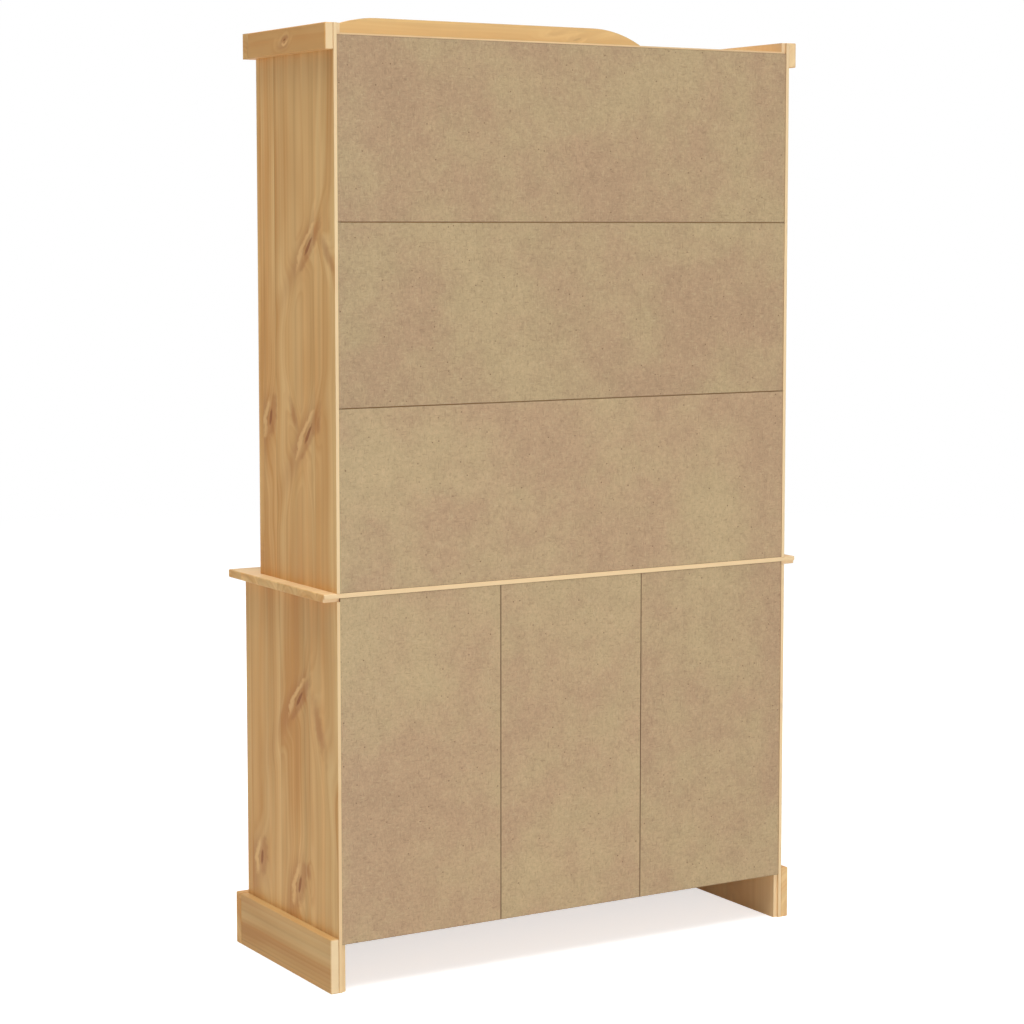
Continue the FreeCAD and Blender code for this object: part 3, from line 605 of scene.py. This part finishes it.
@dataclass(frozen=True)
class Zone:
    """A box in a frame in which the grain turns: members that lie level between upright ones."""

    x: Span
    z: Span

    def mask(self, graph: Graph, x: Value, z: Value) -> Value:
        """Tell whether a place is in the zone.

        Args:
            graph: The material's graph.
            x: Place across the part.
            z: Height of the place.

        Returns:
            1 inside and 0 outside.
        """
        inside = [graph.math("COMPARE", value, (low + high) / 2, (high - low) / 2)
                  for value, (low, high) in ((x, self.x), (z, self.z))]
        return inside[0] * inside[1]


@dataclass(frozen=True)
class Knot:
    """A knot at a place along and across a board, with half its length and width, and its lean.

    With spike at 0 it is a plain streak.
    """

    along: float
    across: float
    half_length: float
    half_width: float
    lean: float = 0.3
    spike: float = 1.0


@dataclass(frozen=True)
class Board:
    """How the timber of one CAD node lies.

    A node of several boards has a pitch from one to the next. Knots have their places in the part's
    frame. The grain turns in some zones, on both halves alike if it is mirrored. Faces that look the
    bare_and_painted_light_way are mixed by the share bare_and_painted_light_share towards a pale
    tone, their own bare_and_painted_light_tone if there is one: partly bare wood, and partly painted
    light where light falls strongly on them. The tone sets how light the board is beside the others.
    """

    node: str
    grain: Grain
    stave: float = 0.085
    pitch: float = 0.0
    knots: tuple[Knot, ...] = ()
    turned: tuple[Zone, ...] = ()
    mirrored: bool = False
    bare_and_painted_light_share: float = 0.0
    bare_and_painted_light_way: Triple = BACKWARD
    bare_and_painted_light_tone: Colour | None = None
    tone: float = 1.0


@dataclass(frozen=True)
class PineFinish:
    """Waxed pine outside, or planed pine and beech inside.

    Relief is the metres of a height of 1 and the share that shows. A face starts to turn pale, as
    bare wood and as painted light, where it agrees with the board's bare_and_painted_light_way by
    the first number of bare_and_painted_light_turn, and is so fully by the second.
    """

    name: str
    pale: Colour
    amber: Colour
    brown: Colour
    raw: Colour
    ring: float = 0.0095
    knots: float = 0.55
    wax: float = 0.12
    rubbed: float = 0.35
    relief: Span = (0.0003, 0.35)
    bare_and_painted_light_turn: Span = (0.5, 0.9)

    def material(self, board: Board) -> Material:
        """Make the material of one board.

        Args:
            board: How its timber lies.

        Returns:
            The material.
        """
        material, graph = new_material(f"{self.name}_{board.node}")
        place, normal = graph.place()
        vector = self.board_place(graph, place, board)
        pale = toned(self.pale, board.tone)
        figure = PineFigure.put(graph, {
            "Board": vector, "Seed": seed_of(board.node), "Stave": board.stave, "Ring": self.ring,
            "Pale": pale, "Amber": toned(self.amber, board.tone), "Brown": self.brown,
            "Knots": 0.0 if board.knots else self.knots, **self.placed_knots(graph, vector, board),
        })
        worn_and_highlit = EdgeWearAndHighlight.put(graph, {"Place": place})
        # Worn edges are mixed towards the pale tone, which is also a painted highlight.
        colour = graph.mix(worn_and_highlit["Rubbed"] * self.rubbed, figure["Color"], pale)
        # Faces that look the board's way turn pale: partly bare wood, partly painted light where light
        # falls strongly.
        if board.bare_and_painted_light_share:
            share = graph.dot(normal, board.bare_and_painted_light_way).ease(*self.bare_and_painted_light_turn, 0.0, board.bare_and_painted_light_share)
            colour = graph.mix(share, colour, board.bare_and_painted_light_tone or self.raw)
        graph.cover({
            "Base Color": colour, "Roughness": figure["Roughness"], "Specular IOR Level": self.wax,
            "Normal": graph.relief(figure["Height"], *self.relief, Normal=worn_and_highlit["Normal"]),
        })
        return material

    @staticmethod
    def board_place(graph: Graph, place: Value, board: Board) -> Value:
        """Place along, across and through a board, from its middle.

        Args:
            graph: The material's graph.
            place: Place in the part's frame.
            board: How its timber lies.

        Returns:
            The three places as a vector.
        """
        parts = graph.split(graph.vector("SUBTRACT", place, tuple(middle_of(board.node))))
        along, across, through = (parts[axis] for axis in board.grain.value)
        if board.pitch:
            half = board.pitch / 2
            through = graph.math("WRAP", through + half, half, -half)
        upright = graph.join(along, across, through)
        if not board.turned:
            return upright
        x, _, z = graph.split(place)
        x = graph.math("ABSOLUTE", x) if board.mirrored else x
        mask = reduce(Value.most, [zone.mask(graph, x, z) for zone in board.turned])
        level = graph.join(across, along, through)
        node = graph.add("ShaderNodeMix", {0: mask, 4: upright, 5: level}, data_type="VECTOR")
        return Value(graph, node.outputs[1])

    @staticmethod
    def placed_knots(graph: Graph, vector: Value, board: Board) -> Values:
        """Draw the knots that have a place of their own on a board.

        Args:
            graph: The material's graph.
            vector: Place on the board, from its middle.
            board: The board, with its knots in the part's frame.

        Returns:
            Their masks by name, or nothing if there are no such knots.
        """
        if not board.knots:
            return {}
        middle = middle_of(board.node)
        along, across, _ = board.grain.value
        found = []
        for knot in board.knots:
            spot = (knot.along - middle[along], knot.across - middle[across], 0.0)
            found.append(SpikeKnot.put(graph, {
                "Offset": graph.vector("SUBTRACT", vector, spot), "Half Length": knot.half_length,
                "Half Width": knot.half_width, "Lean": knot.lean, "Spike": knot.spike,
            }))
        return {label: reduce(Value.most, [masks[label] for masks in found])
                for label in SpikeKnot.outputs}


@dataclass(frozen=True)
class HardboardFinish:
    """Raw hardboard outside, stained to go with the pine inside."""

    tan: Colour = srgb(186, 163, 126)
    rose: Colour = srgb(186, 156, 124)
    strand: Colour = srgb(206, 186, 148)
    speck: Colour = srgb(112, 84, 58)
    stain: Colour = srgb(212, 164, 106)
    stain_share: float = 0.85
    gloss: float = 0.25
    relief: Span = (0.0004, 0.4)

    def material(self, node: str, seed: float, tone: float) -> Material:
        """Make the material of one panel.

        Args:
            node: The panel's name.
            seed: Number that makes its pattern its own.
            tone: How light the panel is beside the others.

        Returns:
            The material.
        """
        material, graph = new_material(f"hardboard_{node}")
        place, normal = graph.place()
        low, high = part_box(node)
        fibre = PressedFibre.put(graph, {
            "Place": graph.vector("SUBTRACT", place, tuple((low + high) / 2)),
            "Half Size": tuple((high - low) / 2), "Seed": seed,
            "Tan": toned(self.tan, tone), "Rose": toned(self.rose, tone),
            "Strand": self.strand, "Speck": self.speck,
        })
        inside = graph.math("LESS_THAN", graph.dot(normal, BACKWARD), -0.5)
        stained = graph.mix(self.stain_share, fibre["Color"], self.stain)
        graph.cover({
            "Base Color": graph.mix(inside, fibre["Color"], stained),
            "Roughness": fibre["Height"] * -0.1 + 0.86, "Specular IOR Level": self.gloss,
            "Normal": graph.relief(fibre["Height"], *self.relief),
        })
        return material


@dataclass(frozen=True)
class IronFinish:
    """Black painted iron, worn to bare metal along its edges."""

    paint: Colour = srgb(38, 35, 33)
    dusty: Colour = srgb(62, 56, 50)
    metal: Colour = srgb(150, 140, 130)
    breaks: float = 140.0
    bare: float = 0.6
    cast_scale: float = 420.0
    dust_scale: float = 55.0
    relief: Span = (0.0003, 0.5)

    def material(self) -> Material:
        """Make the material.

        Returns:
            The material.
        """
        material, graph = new_material("painted_iron")
        place, _ = graph.place()
        worn_and_highlit = EdgeWearAndHighlight.put(graph, {"Place": place, "Breaks": self.breaks})
        cast = graph.noise(place, self.cast_scale, 3.0, 0.6)
        dust = graph.noise(place, self.dust_scale, 3.0).ease(0.4, 0.8)
        rubbed = worn_and_highlit["Rubbed"] * self.bare
        graph.cover({
            "Base Color": graph.mix(rubbed, graph.mix(dust, self.paint, self.dusty), self.metal),
            "Metallic": rubbed * 0.9, "Roughness": rubbed * -0.12 + cast.around(0.2, 0.46),
            "Normal": graph.relief(cast, *self.relief, Normal=worn_and_highlit["Normal"]),
        })
        return material


@dataclass(frozen=True)
class GlassFinish:
    """Clear window glass, a little green, with faint smears."""

    tint: Colour = (0.96, 0.985, 0.97, 1.0)
    bend: float = 1.5
    shine: Colour = (0.4, 0.4, 0.4, 1.0)
    smear_scale: float = 9.0
    smear: float = 0.012

    def material(self) -> Material:
        """Make the material, which lets light pass straight into the hutch.

        Returns:
            The material.
        """
        material, graph = new_material("pane_glass")
        place, _ = graph.place()
        smear = graph.noise(place, self.smear_scale, 3.0, 0.6).ease(0.5, 0.8, 0.0, self.smear)
        glass = graph.out("ShaderNodeBsdfPrincipled", {
            "Base Color": self.tint, "Transmission Weight": 1.0, "IOR": self.bend,
            "Specular Tint": self.shine, "Roughness": smear,
        })
        clear = graph.out("ShaderNodeBsdfTransparent", {"Color": self.tint})
        path = graph.outs("ShaderNodeLightPath")
        passing = path["Is Shadow Ray"].most(path["Is Diffuse Ray"])
        both = graph.out("ShaderNodeMixShader", {0: passing, 1: glass, 2: clear})
        graph.add("ShaderNodeOutputMaterial", {"Surface": both})
        return material


@dataclass(frozen=True)
class PlasticFinish:
    """Moulded brown plastic."""

    dark: Colour = srgb(122, 92, 62)
    light: Colour = srgb(146, 112, 78)
    breaks: float = 200.0
    skin_scale: float = 1500.0
    cloud_scale: float = 45.0
    relief: Span = (0.0001, 0.4)

    def material(self) -> Material:
        """Make the material.

        Returns:
            The material.
        """
        material, graph = new_material("moulded_plastic")
        place, _ = graph.place()
        worn_and_highlit = EdgeWearAndHighlight.put(graph, {"Place": place, "Breaks": self.breaks})
        skin = graph.noise(place, self.skin_scale)
        cloud = graph.noise(place, self.cloud_scale)
        graph.cover({
            # Worn edges turn to the lighter plastic, which is also a painted highlight.
            "Base Color": graph.mix(cloud.most(worn_and_highlit["Rubbed"]), self.dark, self.light),
            "Roughness": skin.around(0.2, 0.52),
            "Normal": graph.relief(skin, *self.relief, Normal=worn_and_highlit["Normal"]),
        })
        return material


@dataclass
class Finishes:
    """Every finish of the highboard, and the materials that are made once."""

    # The last colour of each finish is the pale tone of faces that are bare wood and also painted
    # light.
    pine: PineFinish = PineFinish(
        "pine", srgb(242, 202, 138), srgb(217, 158, 89), srgb(166, 86, 34), srgb(250, 225, 182))
    planed: PineFinish = PineFinish(
        "planed", srgb(240, 212, 164), srgb(222, 180, 122), srgb(160, 104, 60), srgb(246, 222, 180),
        ring=0.007, knots=0.3, wax=0.1)
    beech: PineFinish = PineFinish(
        "beech", srgb(220, 180, 134), srgb(200, 152, 106), srgb(140, 90, 56), srgb(226, 190, 146),
        ring=0.0012, knots=0.0, wax=0.1)
    hardboard: HardboardFinish = HardboardFinish()
    iron: Material = field(init=False)
    glass: Material = field(init=False)
    plastic: Material = field(init=False)

    def __post_init__(self) -> None:
        """Make the materials that every piece of their kind shares."""
        self.iron = IronFinish().material()
        self.glass = GlassFinish().material()
        self.plastic = PlasticFinish().material()


@dataclass
class Assembly:
    """A sub-assembly of the highboard: CAD nodes that get their finish."""

    nodes: Mapping[str, bpy.types.Object]
    finishes: Finishes

    def coat(self, node: str, material: Material) -> None:
        """Give a CAD node its material.

        Args:
            node: The node's name.
            material: Its material.
        """
        piece = self.nodes[node]
        if not piece.material_slots:
            piece.data.materials.append(None)
        for slot in piece.material_slots:
            slot.material = material
        LOG.info("%s wears %s", node, material.name)

    def coat_boards(self, finish: PineFinish, boards: Sequence[Board]) -> None:
        """Give boards their timber."""
        for board in boards:
            self.coat(board.node, finish.material(board))


@dataclass
class Carcass(Assembly):
    """Boards, frames and trim that stand still."""

    frame_edge: float = 0.487
    mullion: Span = (0.1475, 0.1875)
    bottom_rail: Span = (0.09, 0.134)
    drawer_rail: Span = (0.584, 0.614)
    top_rail: Span = (0.734, 0.77)
    hutch_edge: float = 0.482
    hutch_bottom_rail: Span = (0.77, 0.82)
    hutch_top_rail: Span = (1.78, 1.87)
    divider_pitch: float = 0.335
    shelf_pitch: float = 0.353
    cornice_knot: Knot = Knot(0.044, 1.833, 0.014, 0.009, 0.2)
    crest_knots: tuple[Knot, ...] = (
        Knot(-0.222, 1.872, 0.026, 0.010, -0.3), Knot(-0.17, 1.885, 0.03, 0.006, -0.2, 0.0),
        Knot(0.33, 1.838, 0.018, 0.009, 0.2),
    )
    top_knots: tuple[Knot, ...] = (
        Knot(-0.37, -0.165, 0.03, 0.014, 0.2), Knot(0.08, -0.15, 0.024, 0.012, -0.2),
        Knot(0.42, -0.175, 0.028, 0.013, 0.1), Knot(-0.1, 0.08, 0.03, 0.014, 0.3),
    )
    hutch_knots: tuple[Knot, ...] = (
        Knot(1.441, 0.098, 0.046, 0.026, 0.85), Knot(1.428, 0.182, 0.042, 0.019, -0.8, 0.0),
        Knot(1.101, -0.074, 0.040, 0.026, 0.25), Knot(1.078, 0.092, 0.050, 0.026, 0.75),
        Knot(1.100, 0.140, 0.022, 0.012, 0.2, 0.0), Knot(1.113, 0.034, 0.040, 0.014, -0.5, 0.0),
    )
    base_knots: tuple[Knot, ...] = (
        Knot(0.552, 0.045, 0.042, 0.026, 0.85), Knot(0.506, 0.136, 0.066, 0.021, -0.4, 0.0),
        Knot(0.197, -0.132, 0.038, 0.026, 0.15), Knot(0.178, 0.041, 0.044, 0.026, 0.3),
        Knot(0.212, 0.085, 0.018, 0.012, -0.2, 0.0),
    )

    def dress(self) -> None:
        """Coat every piece that stands still."""
        # Faces that look up and back turn pale: bare wood, and painted light from above and behind.
        up_and_back = (0.0, 1.0, 0.75)
        self.coat_boards(self.finishes.pine, [
            *self.sides(), *self.frames(), *self.trim(),
            Board("base_top", Grain.LEVEL_FLAT, knots=self.top_knots, bare_and_painted_light_share=0.75,
                  bare_and_painted_light_way=up_and_back),
            Board("base_bottom", Grain.LEVEL_FLAT),
            Board("base_shelves", Grain.LEVEL_FLAT),
            Board("hutch_top", Grain.LEVEL_FLAT, bare_and_painted_light_share=0.75, bare_and_painted_light_way=up_and_back),
            Board("hutch_shelves", Grain.LEVEL_FLAT, pitch=self.shelf_pitch),
            Board("base_dividers", Grain.UPRIGHT_SIDE, pitch=self.divider_pitch),
        ])
        self.coat_boards(self.finishes.planed, [
            Board("shelf_cleats", Grain.DEEP_SIDE),
            Board("drawer_runners", Grain.DEEP_SIDE),
        ])
        self.coat_boards(self.finishes.beech, [Board("locating_dowels", Grain.UPRIGHT_SIDE)])
        self.coat("door_catches", self.finishes.plastic)
        self.coat("hinge_frame_leaves", self.finishes.iron)
        self.coat("hinge_pins", self.finishes.iron)

    def sides(self) -> list[Board]:
        """List the side boards, which are paler along the back and partly paler inside: bare wood and
        painted light.

        Returns:
            The boards, with the knots that show on the right-hand ones.
        """
        # The inner faces turn pale too: painted light on faces that stand in shade, with bare wood
        # along the back.
        in_left, in_right = (0.75, 1.0, 0.0), (-0.75, 1.0, 0.0)
        return [
            Board("hutch_side_right", Grain.UPRIGHT_SIDE, 0.17, knots=self.hutch_knots, bare_and_painted_light_share=0.75,
                  bare_and_painted_light_way=in_right),
            Board("base_side_right", Grain.UPRIGHT_SIDE, 0.13, knots=self.base_knots, bare_and_painted_light_share=0.6,
                  bare_and_painted_light_way=in_right),
            Board("hutch_side_left", Grain.UPRIGHT_SIDE, 0.11, bare_and_painted_light_share=0.75, bare_and_painted_light_way=in_left),
            Board("base_side_left", Grain.UPRIGHT_SIDE, 0.1, bare_and_painted_light_share=0.75, bare_and_painted_light_way=in_left),
        ]

    def frames(self) -> list[Board]:
        """List the face frames.

        Returns:
            The frames, whose rails lie level between their stiles.
        """
        inner, outer = self.mullion
        edge, hutch_edge = self.frame_edge, self.hutch_edge
        rails = (
            Zone((-edge, edge), self.bottom_rail), Zone((-edge, edge), self.top_rail),
            Zone((-inner, inner), self.drawer_rail), Zone((outer, edge), self.drawer_rail),
        )
        hutch_rails = tuple(Zone((-hutch_edge, hutch_edge), rail)
                            for rail in (self.hutch_bottom_rail, self.hutch_top_rail))
        return [
            Board("base_face_frame", Grain.UPRIGHT_FRONT, 0.11, turned=rails, mirrored=True),
            Board("hutch_face_frame", Grain.UPRIGHT_FRONT, 0.13, turned=hutch_rails, mirrored=True),
        ]

    def trim(self) -> list[Board]:
        """List the plinth, the cornice and the crest.

        Returns:
            The boards, each sawn from one wide stave.
        """
        wide = 0.2
        # Paler end, inner and back faces here are partly bare wood and partly painted light; the crest
        # has a paler tone of its own for them.
        return [
            Board("plinth_left", Grain.DEEP_SIDE, wide, bare_and_painted_light_share=0.3),
            Board("plinth_right", Grain.DEEP_SIDE, wide, bare_and_painted_light_share=0.85, tone=0.87),
            Board("plinth_front", Grain.LEVEL_FRONT, wide),
            Board("cornice_left", Grain.DEEP_SIDE, wide, bare_and_painted_light_share=0.85, bare_and_painted_light_way=(1.0, 0.75, 0.0)),
            Board("cornice_right", Grain.DEEP_SIDE, wide, knots=(self.cornice_knot,), bare_and_painted_light_share=0.75,
                  bare_and_painted_light_way=(-1.0, 1.0, 0.0)),
            Board("crest_board", Grain.LEVEL_FRONT, wide, knots=self.crest_knots, bare_and_painted_light_share=0.65,
                  bare_and_painted_light_tone=srgb(221, 203, 156)),
        ]


@dataclass
class Backs(Assembly):
    """Hardboard backs of base and hutch."""

    # Each panel's own tone; the lower panels are made lighter, which is painted light.
    tones_and_painted_light: Mapping[str, float] = field(default_factory=lambda: {
        "hutch_back_upper": 1.0, "hutch_back_middle": 1.0, "hutch_back_lower": 1.06,
        "base_back_left": 1.03, "base_back_centre": 1.07, "base_back_right": 1.08,
    })
    seed_step: float = 2.7

    def dress(self) -> None:
        """Coat the panels, each with a pattern and a tone of its own, lighter on the lower panels as
        painted light.
        """
        for number, (panel, tone) in enumerate(self.tones_and_painted_light.items()):
            self.coat(panel, self.finishes.hardboard.material(panel, number * self.seed_step, tone))


@dataclass
class Drawer(Assembly):
    """One drawer: its front, its box and its knob."""

    bay: str = "left"
    front_stave: float = 0.15
    box_stave: float = 0.12

    def dress(self) -> None:
        """Coat the drawer."""
        name = f"drawer_{self.bay}"
        front = Board(f"{name}_front", Grain.LEVEL_FRONT, self.front_stave)
        box = Board(f"{name}_box", Grain.DEEP_SIDE, self.box_stave)
        self.coat_boards(self.finishes.pine, [front])
        self.coat_boards(self.finishes.planed, [box])
        self.coat(f"{name}_knob", self.finishes.iron)


@dataclass
class Door(Assembly):
    """One door: a frame with level rails between stiles, a panel or glass, a knob and hinge leaves."""

    name: str = "base_door_left"
    stile: float = 0.052
    frame_stave: float = 0.12
    panel_stave: float = 0.075

    def dress(self) -> None:
        """Coat the door."""
        low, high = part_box(f"{self.name}_frame")
        inner = (low.x + self.stile, high.x - self.stile)
        rails = (Zone(inner, (low.z - self.stile, high.z + self.stile)),)
        boards = [Board(f"{self.name}_frame", Grain.UPRIGHT_FRONT, self.frame_stave, turned=rails)]
        panel = f"{self.name}_panel"
        if panel in self.nodes:
            boards.append(Board(panel, Grain.UPRIGHT_FRONT, self.panel_stave))
        else:
            self.coat(f"{self.name}_glass", self.finishes.glass)
        self.coat_boards(self.finishes.pine, boards)
        self.coat(f"{self.name}_knob", self.finishes.iron)
        self.coat(f"{self.name}_hinge_leaves", self.finishes.iron)


class ScrewTree:
    """Geometry nodes that set a slotted screw on each point, its slot turned by lot."""

    name: ClassVar[str] = "hinge screws"
    sizes: ClassVar[dict[str, float]] = {
        "Head Radius": 0.0031, "Head Height": 0.0011, "Slot Width": 0.0008, "Slot Depth": 0.0006,
    }
    sides: ClassVar[int] = 20
    brim: ClassVar[float] = 0.72

    @classmethod
    def group(cls, material: Material) -> bpy.types.NodeTree:
        """Draw the tree.

        Args:
            material: What the screws are made of.

        Returns:
            The tree.
        """
        graph, given = new_group(cls.name, "GeometryNodeTree", {"Points": None, **cls.sizes, "Seed": 1},
                                 {"Screws": "Geometry"})
        lot = graph.add("FunctionNodeRandomValue", {2: 0.0, 3: math.pi, "Seed": given["Seed"]},
                        data_type="FLOAT")
        turn = graph.join(math.pi / 2, Value(graph, lot.outputs[1]), 0.0)
        placed = graph.out("GeometryNodeInstanceOnPoints", {
            "Points": given["Points"], "Instance": cls.head(graph, given),
            "Rotation": graph.out("FunctionNodeEulerToRotation", {0: turn}),
        })
        solid = graph.out("GeometryNodeRealizeInstances", {"Geometry": placed})
        coated = graph.out("GeometryNodeSetMaterial", {"Geometry": solid, "Material": material})
        graph.add("NodeGroupOutput", {"Screws": coated})
        return graph.tree

    @classmethod
    def head(cls, graph: Graph, given: Values) -> Value:
        """Draw one screw head: a low cone with a slot cut across it.

        Args:
            graph: The tree's graph.
            given: The tree's inputs.

        Returns:
            The head as geometry, standing on its origin along Z.
        """
        radius, height = given["Head Radius"], given["Head Height"]
        cone = graph.out("GeometryNodeMeshCone", {
            "Vertices": cls.sides, "Radius Top": radius * cls.brim, "Radius Bottom": radius,
            "Depth": height,
        })
        # The bar reaches past the head at both ends, and half of it stands above the head.
        size = graph.join(radius * 3.0, given["Slot Width"], given["Slot Depth"] * 2.0)
        bar = graph.out("GeometryNodeMeshCube", {"Size": size})
        lift = graph.join(0.0, 0.0, height)
        raised = graph.out("GeometryNodeTransform", {"Geometry": bar, "Translation": lift})
        return graph.out("GeometryNodeMeshBoolean", {0: cone, 1: raised}, operation="DIFFERENCE")


@dataclass
class HingeScrews(Assembly):
    """Slotted screws that hold the hinge leaves on frames and doors.

    They stand a reach away from the hinge's axis, with a spread between them, on a leaf's thickness.
    Each axis has its door, its place across the part, and the side of the door that it is on.
    """

    reach: float = 0.017
    spread: float = 0.02
    leaf: float = 0.0015
    base_front: float = -0.193
    base_levels: tuple[float, ...] = (0.198, 0.52)
    base_axes: tuple[tuple[str, float, int], ...] = (
        ("base_door_left", -0.486, -1), ("base_door_centre", -0.1465, -1),
        ("base_door_right", 0.486, 1),
    )
    hutch_front: float = -0.122
    hutch_levels: tuple[float, ...] = (0.912, 1.3, 1.688)
    hutch_axes: tuple[tuple[str, float, int], ...] = (
        ("hutch_door_left", -0.481, -1), ("hutch_door_right", 0.481, 1),
    )

    def dress(self) -> None:
        """Set the screws: those on the frames in one piece, and each door's in a piece of its own."""
        tree = ScrewTree.group(self.finishes.iron)
        fixed: list[Vector] = []
        for front, levels, axes in ((self.base_front, self.base_levels, self.base_axes),
                                    (self.hutch_front, self.hutch_levels, self.hutch_axes)):
            for door, axis, side in axes:
                fixed += self.spots(axis + side * self.reach, front, levels)
                moving = self.spots(axis - side * self.reach, front, levels)
                self.set_screws(f"{door}_screws", door, moving, tree)
        self.set_screws("frame_hinge_screws", "cabinet", fixed, tree)

    def spots(self, x: float, front: float, levels: Sequence[float]) -> list[Vector]:
        """Middles of the screws in one row of leaves, on a front face, about the hinges' levels."""
        return [Vector((x, front - self.leaf, level + step)) for level in levels
                for step in (-self.spread, 0.0, self.spread)]

    def set_screws(self, name: str, body: str, spots: Sequence[Vector],
                   tree: bpy.types.NodeTree) -> None:
        """Make one piece of screws and let it ride.

        Args:
            name: The piece's name.
            body: The body that it rides on.
            spots: Where the screws stand.
            tree: The geometry nodes that set them.
        """
        mesh = bpy.data.meshes.new(name)
        mesh.from_pydata(spots, [], [])
        piece = new_object(name, mesh)
        modifier = piece.modifiers.new("screws", "NODES")
        modifier.node_group = tree
        items = tree.interface.items_tree
        sockets = {item.name: item.identifier for item in items if item.in_out == "INPUT"}
        for label, size in ScrewTree.sizes.items():
            modifier[sockets[label]] = size
        modifier[sockets["Seed"]] = len(spots) + len(name)
        view = bpy.context.evaluated_depsgraph_get()
        piece.data = bpy.data.meshes.new_from_object(piece.evaluated_get(view))
        piece.modifiers.clear()
        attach(piece, body)
        LOG.info("%s: %d screws on %s", name, len(spots), body)


@dataclass(frozen=True)
class Softbox:
    """A soft square light: its name, its place, the length of its sides and its power in watts."""

    name: str
    place: Triple
    size: float
    power: float


@dataclass
class Studio:
    """White studio: floor, soft lights and the camera at the photograph's angle."""

    floor_size: float = 60.0
    floor_grey: float = 0.78
    floor_glow: float = 0.65
    floor_fade: Span = (2.0, 8.0)
    ambient: float = 0.28
    lamps: tuple[Softbox, ...] = (
        Softbox("back_softbox", (-1.0, 9.0, 1.6), 5.0, 276.0),
        Softbox("front_softbox", (1.0, -9.0, 1.6), 5.0, 372.0),
        Softbox("right_softbox", (6.2, 6.2, 1.0), 4.0, 36.0),
        Softbox("left_softbox", (-6.2, -6.2, 1.0), 4.0, 70.0),
        Softbox("top_softbox", (1.5, 2.2, 10.0), 5.0, 640.0),
    )
    lens: float = 89.51
    camera_place: Triple = (2.7287, 4.5086, 1.4767)
    yaw: float = 31.065
    pitch: float = 5.246
    shift: float = -0.05
    aim: Triple = (0.0, 0.0, 0.95)

    def build(self) -> None:
        """Set up the whole studio."""
        bpy.context.scene.view_settings.view_transform = "Standard"
        self.build_world()
        self.build_floor()
        for lamp in self.lamps:
            self.hang(lamp)
        self.build_camera()

    @staticmethod
    def seen(graph: Graph) -> Value:
        """Tell whether a ray shows its end to the eye: straight, in a mirror or through glass."""
        path = graph.outs("ShaderNodeLightPath")
        return path["Is Camera Ray"].most(path["Is Glossy Ray"]).most(path["Is Transmission Ray"])

    def build_world(self) -> None:
        """Even light all round, which looks white."""
        world = bpy.data.worlds.new("studio")
        world.use_nodes = True
        world.node_tree.nodes.clear()
        graph = Graph(world.node_tree)
        lit, white = (graph.out("ShaderNodeBackground", {"Color": WHITE, "Strength": strength})
                      for strength in (self.ambient, 1.0))
        both = graph.out("ShaderNodeMixShader", {0: self.seen(graph), 1: lit, 2: white})
        graph.add("ShaderNodeOutputWorld", {"Surface": both})
        bpy.context.scene.world = world

    def build_floor(self) -> None:
        """A level floor that keeps the shadow, looks pale, and turns white away from the highboard."""
        half = self.floor_size / 2
        mesh = bpy.data.meshes.new("floor")
        sheet = [(-half, -half, 0.0), (half, -half, 0.0), (half, half, 0.0), (-half, half, 0.0)]
        mesh.from_pydata(sheet, [], [(0, 1, 2, 3)])
        floor = new_object("floor", mesh)
        material, graph = new_material("studio_floor")
        matt = graph.out("ShaderNodeBsdfDiffuse", {"Color": toned(WHITE, self.floor_grey)})
        place, _ = graph.place()
        away = graph.outs("ShaderNodeVectorMath", {0: place}, operation="LENGTH")["Value"]
        seen = self.seen(graph)
        glow, white = (graph.out("ShaderNodeEmission", {"Color": WHITE, "Strength": strength})
                       for strength in (seen * self.floor_glow, 1.0))
        near = graph.out("ShaderNodeAddShader", {0: matt, 1: glow})
        far = seen * away.ease(*self.floor_fade)
        both = graph.out("ShaderNodeMixShader", {0: far, 1: near, 2: white})
        graph.add("ShaderNodeOutputMaterial", {"Surface": both})
        mesh.materials.append(material)

    def hang(self, softbox: Softbox) -> None:
        """Hang a soft light that looks at the highboard.

        Args:
            softbox: The light.
        """
        lamp = bpy.data.lights.new(softbox.name, "AREA")
        lamp.size = softbox.size
        lamp.energy = softbox.power
        light = new_object(softbox.name, lamp)
        light.location = softbox.place
        way = Vector(self.aim) - Vector(softbox.place)
        light.rotation_euler = way.to_track_quat("-Z", "Y").to_euler()
        light.visible_camera = False
        light.visible_glossy = False
        light.visible_transmission = False

    def build_camera(self) -> None:
        """Set the camera up where the photograph was taken."""
        lens = bpy.data.cameras.new("camera")
        lens.lens = self.lens
        lens.shift_y = self.shift
        camera = new_object("camera", lens)
        camera.location = self.camera_place
        camera.rotation_euler = (math.radians(90 - self.pitch), 0.0, math.radians(180 - self.yaw))
        bpy.context.scene.camera = camera


def main() -> None:
    """Load the model, dress it and set up the studio."""
    logging.basicConfig(level=logging.INFO, format="%(name)s: %(message)s")
    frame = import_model()
    nodes = frame["nodes"]
    finishes = Finishes()
    assemblies = [
        Carcass(nodes, finishes),
        Backs(nodes, finishes),
        *(Drawer(nodes, finishes, bay) for bay in BAYS),
        *(Door(nodes, finishes, f"base_door_{bay}") for bay in BAYS),
        *(Door(nodes, finishes, f"hutch_door_{hand}") for hand in HANDS),
        HingeScrews(nodes, finishes),
    ]
    for assembly in assemblies:
        assembly.dress()
    Studio().build()


if __name__ == "__main__":
    main()
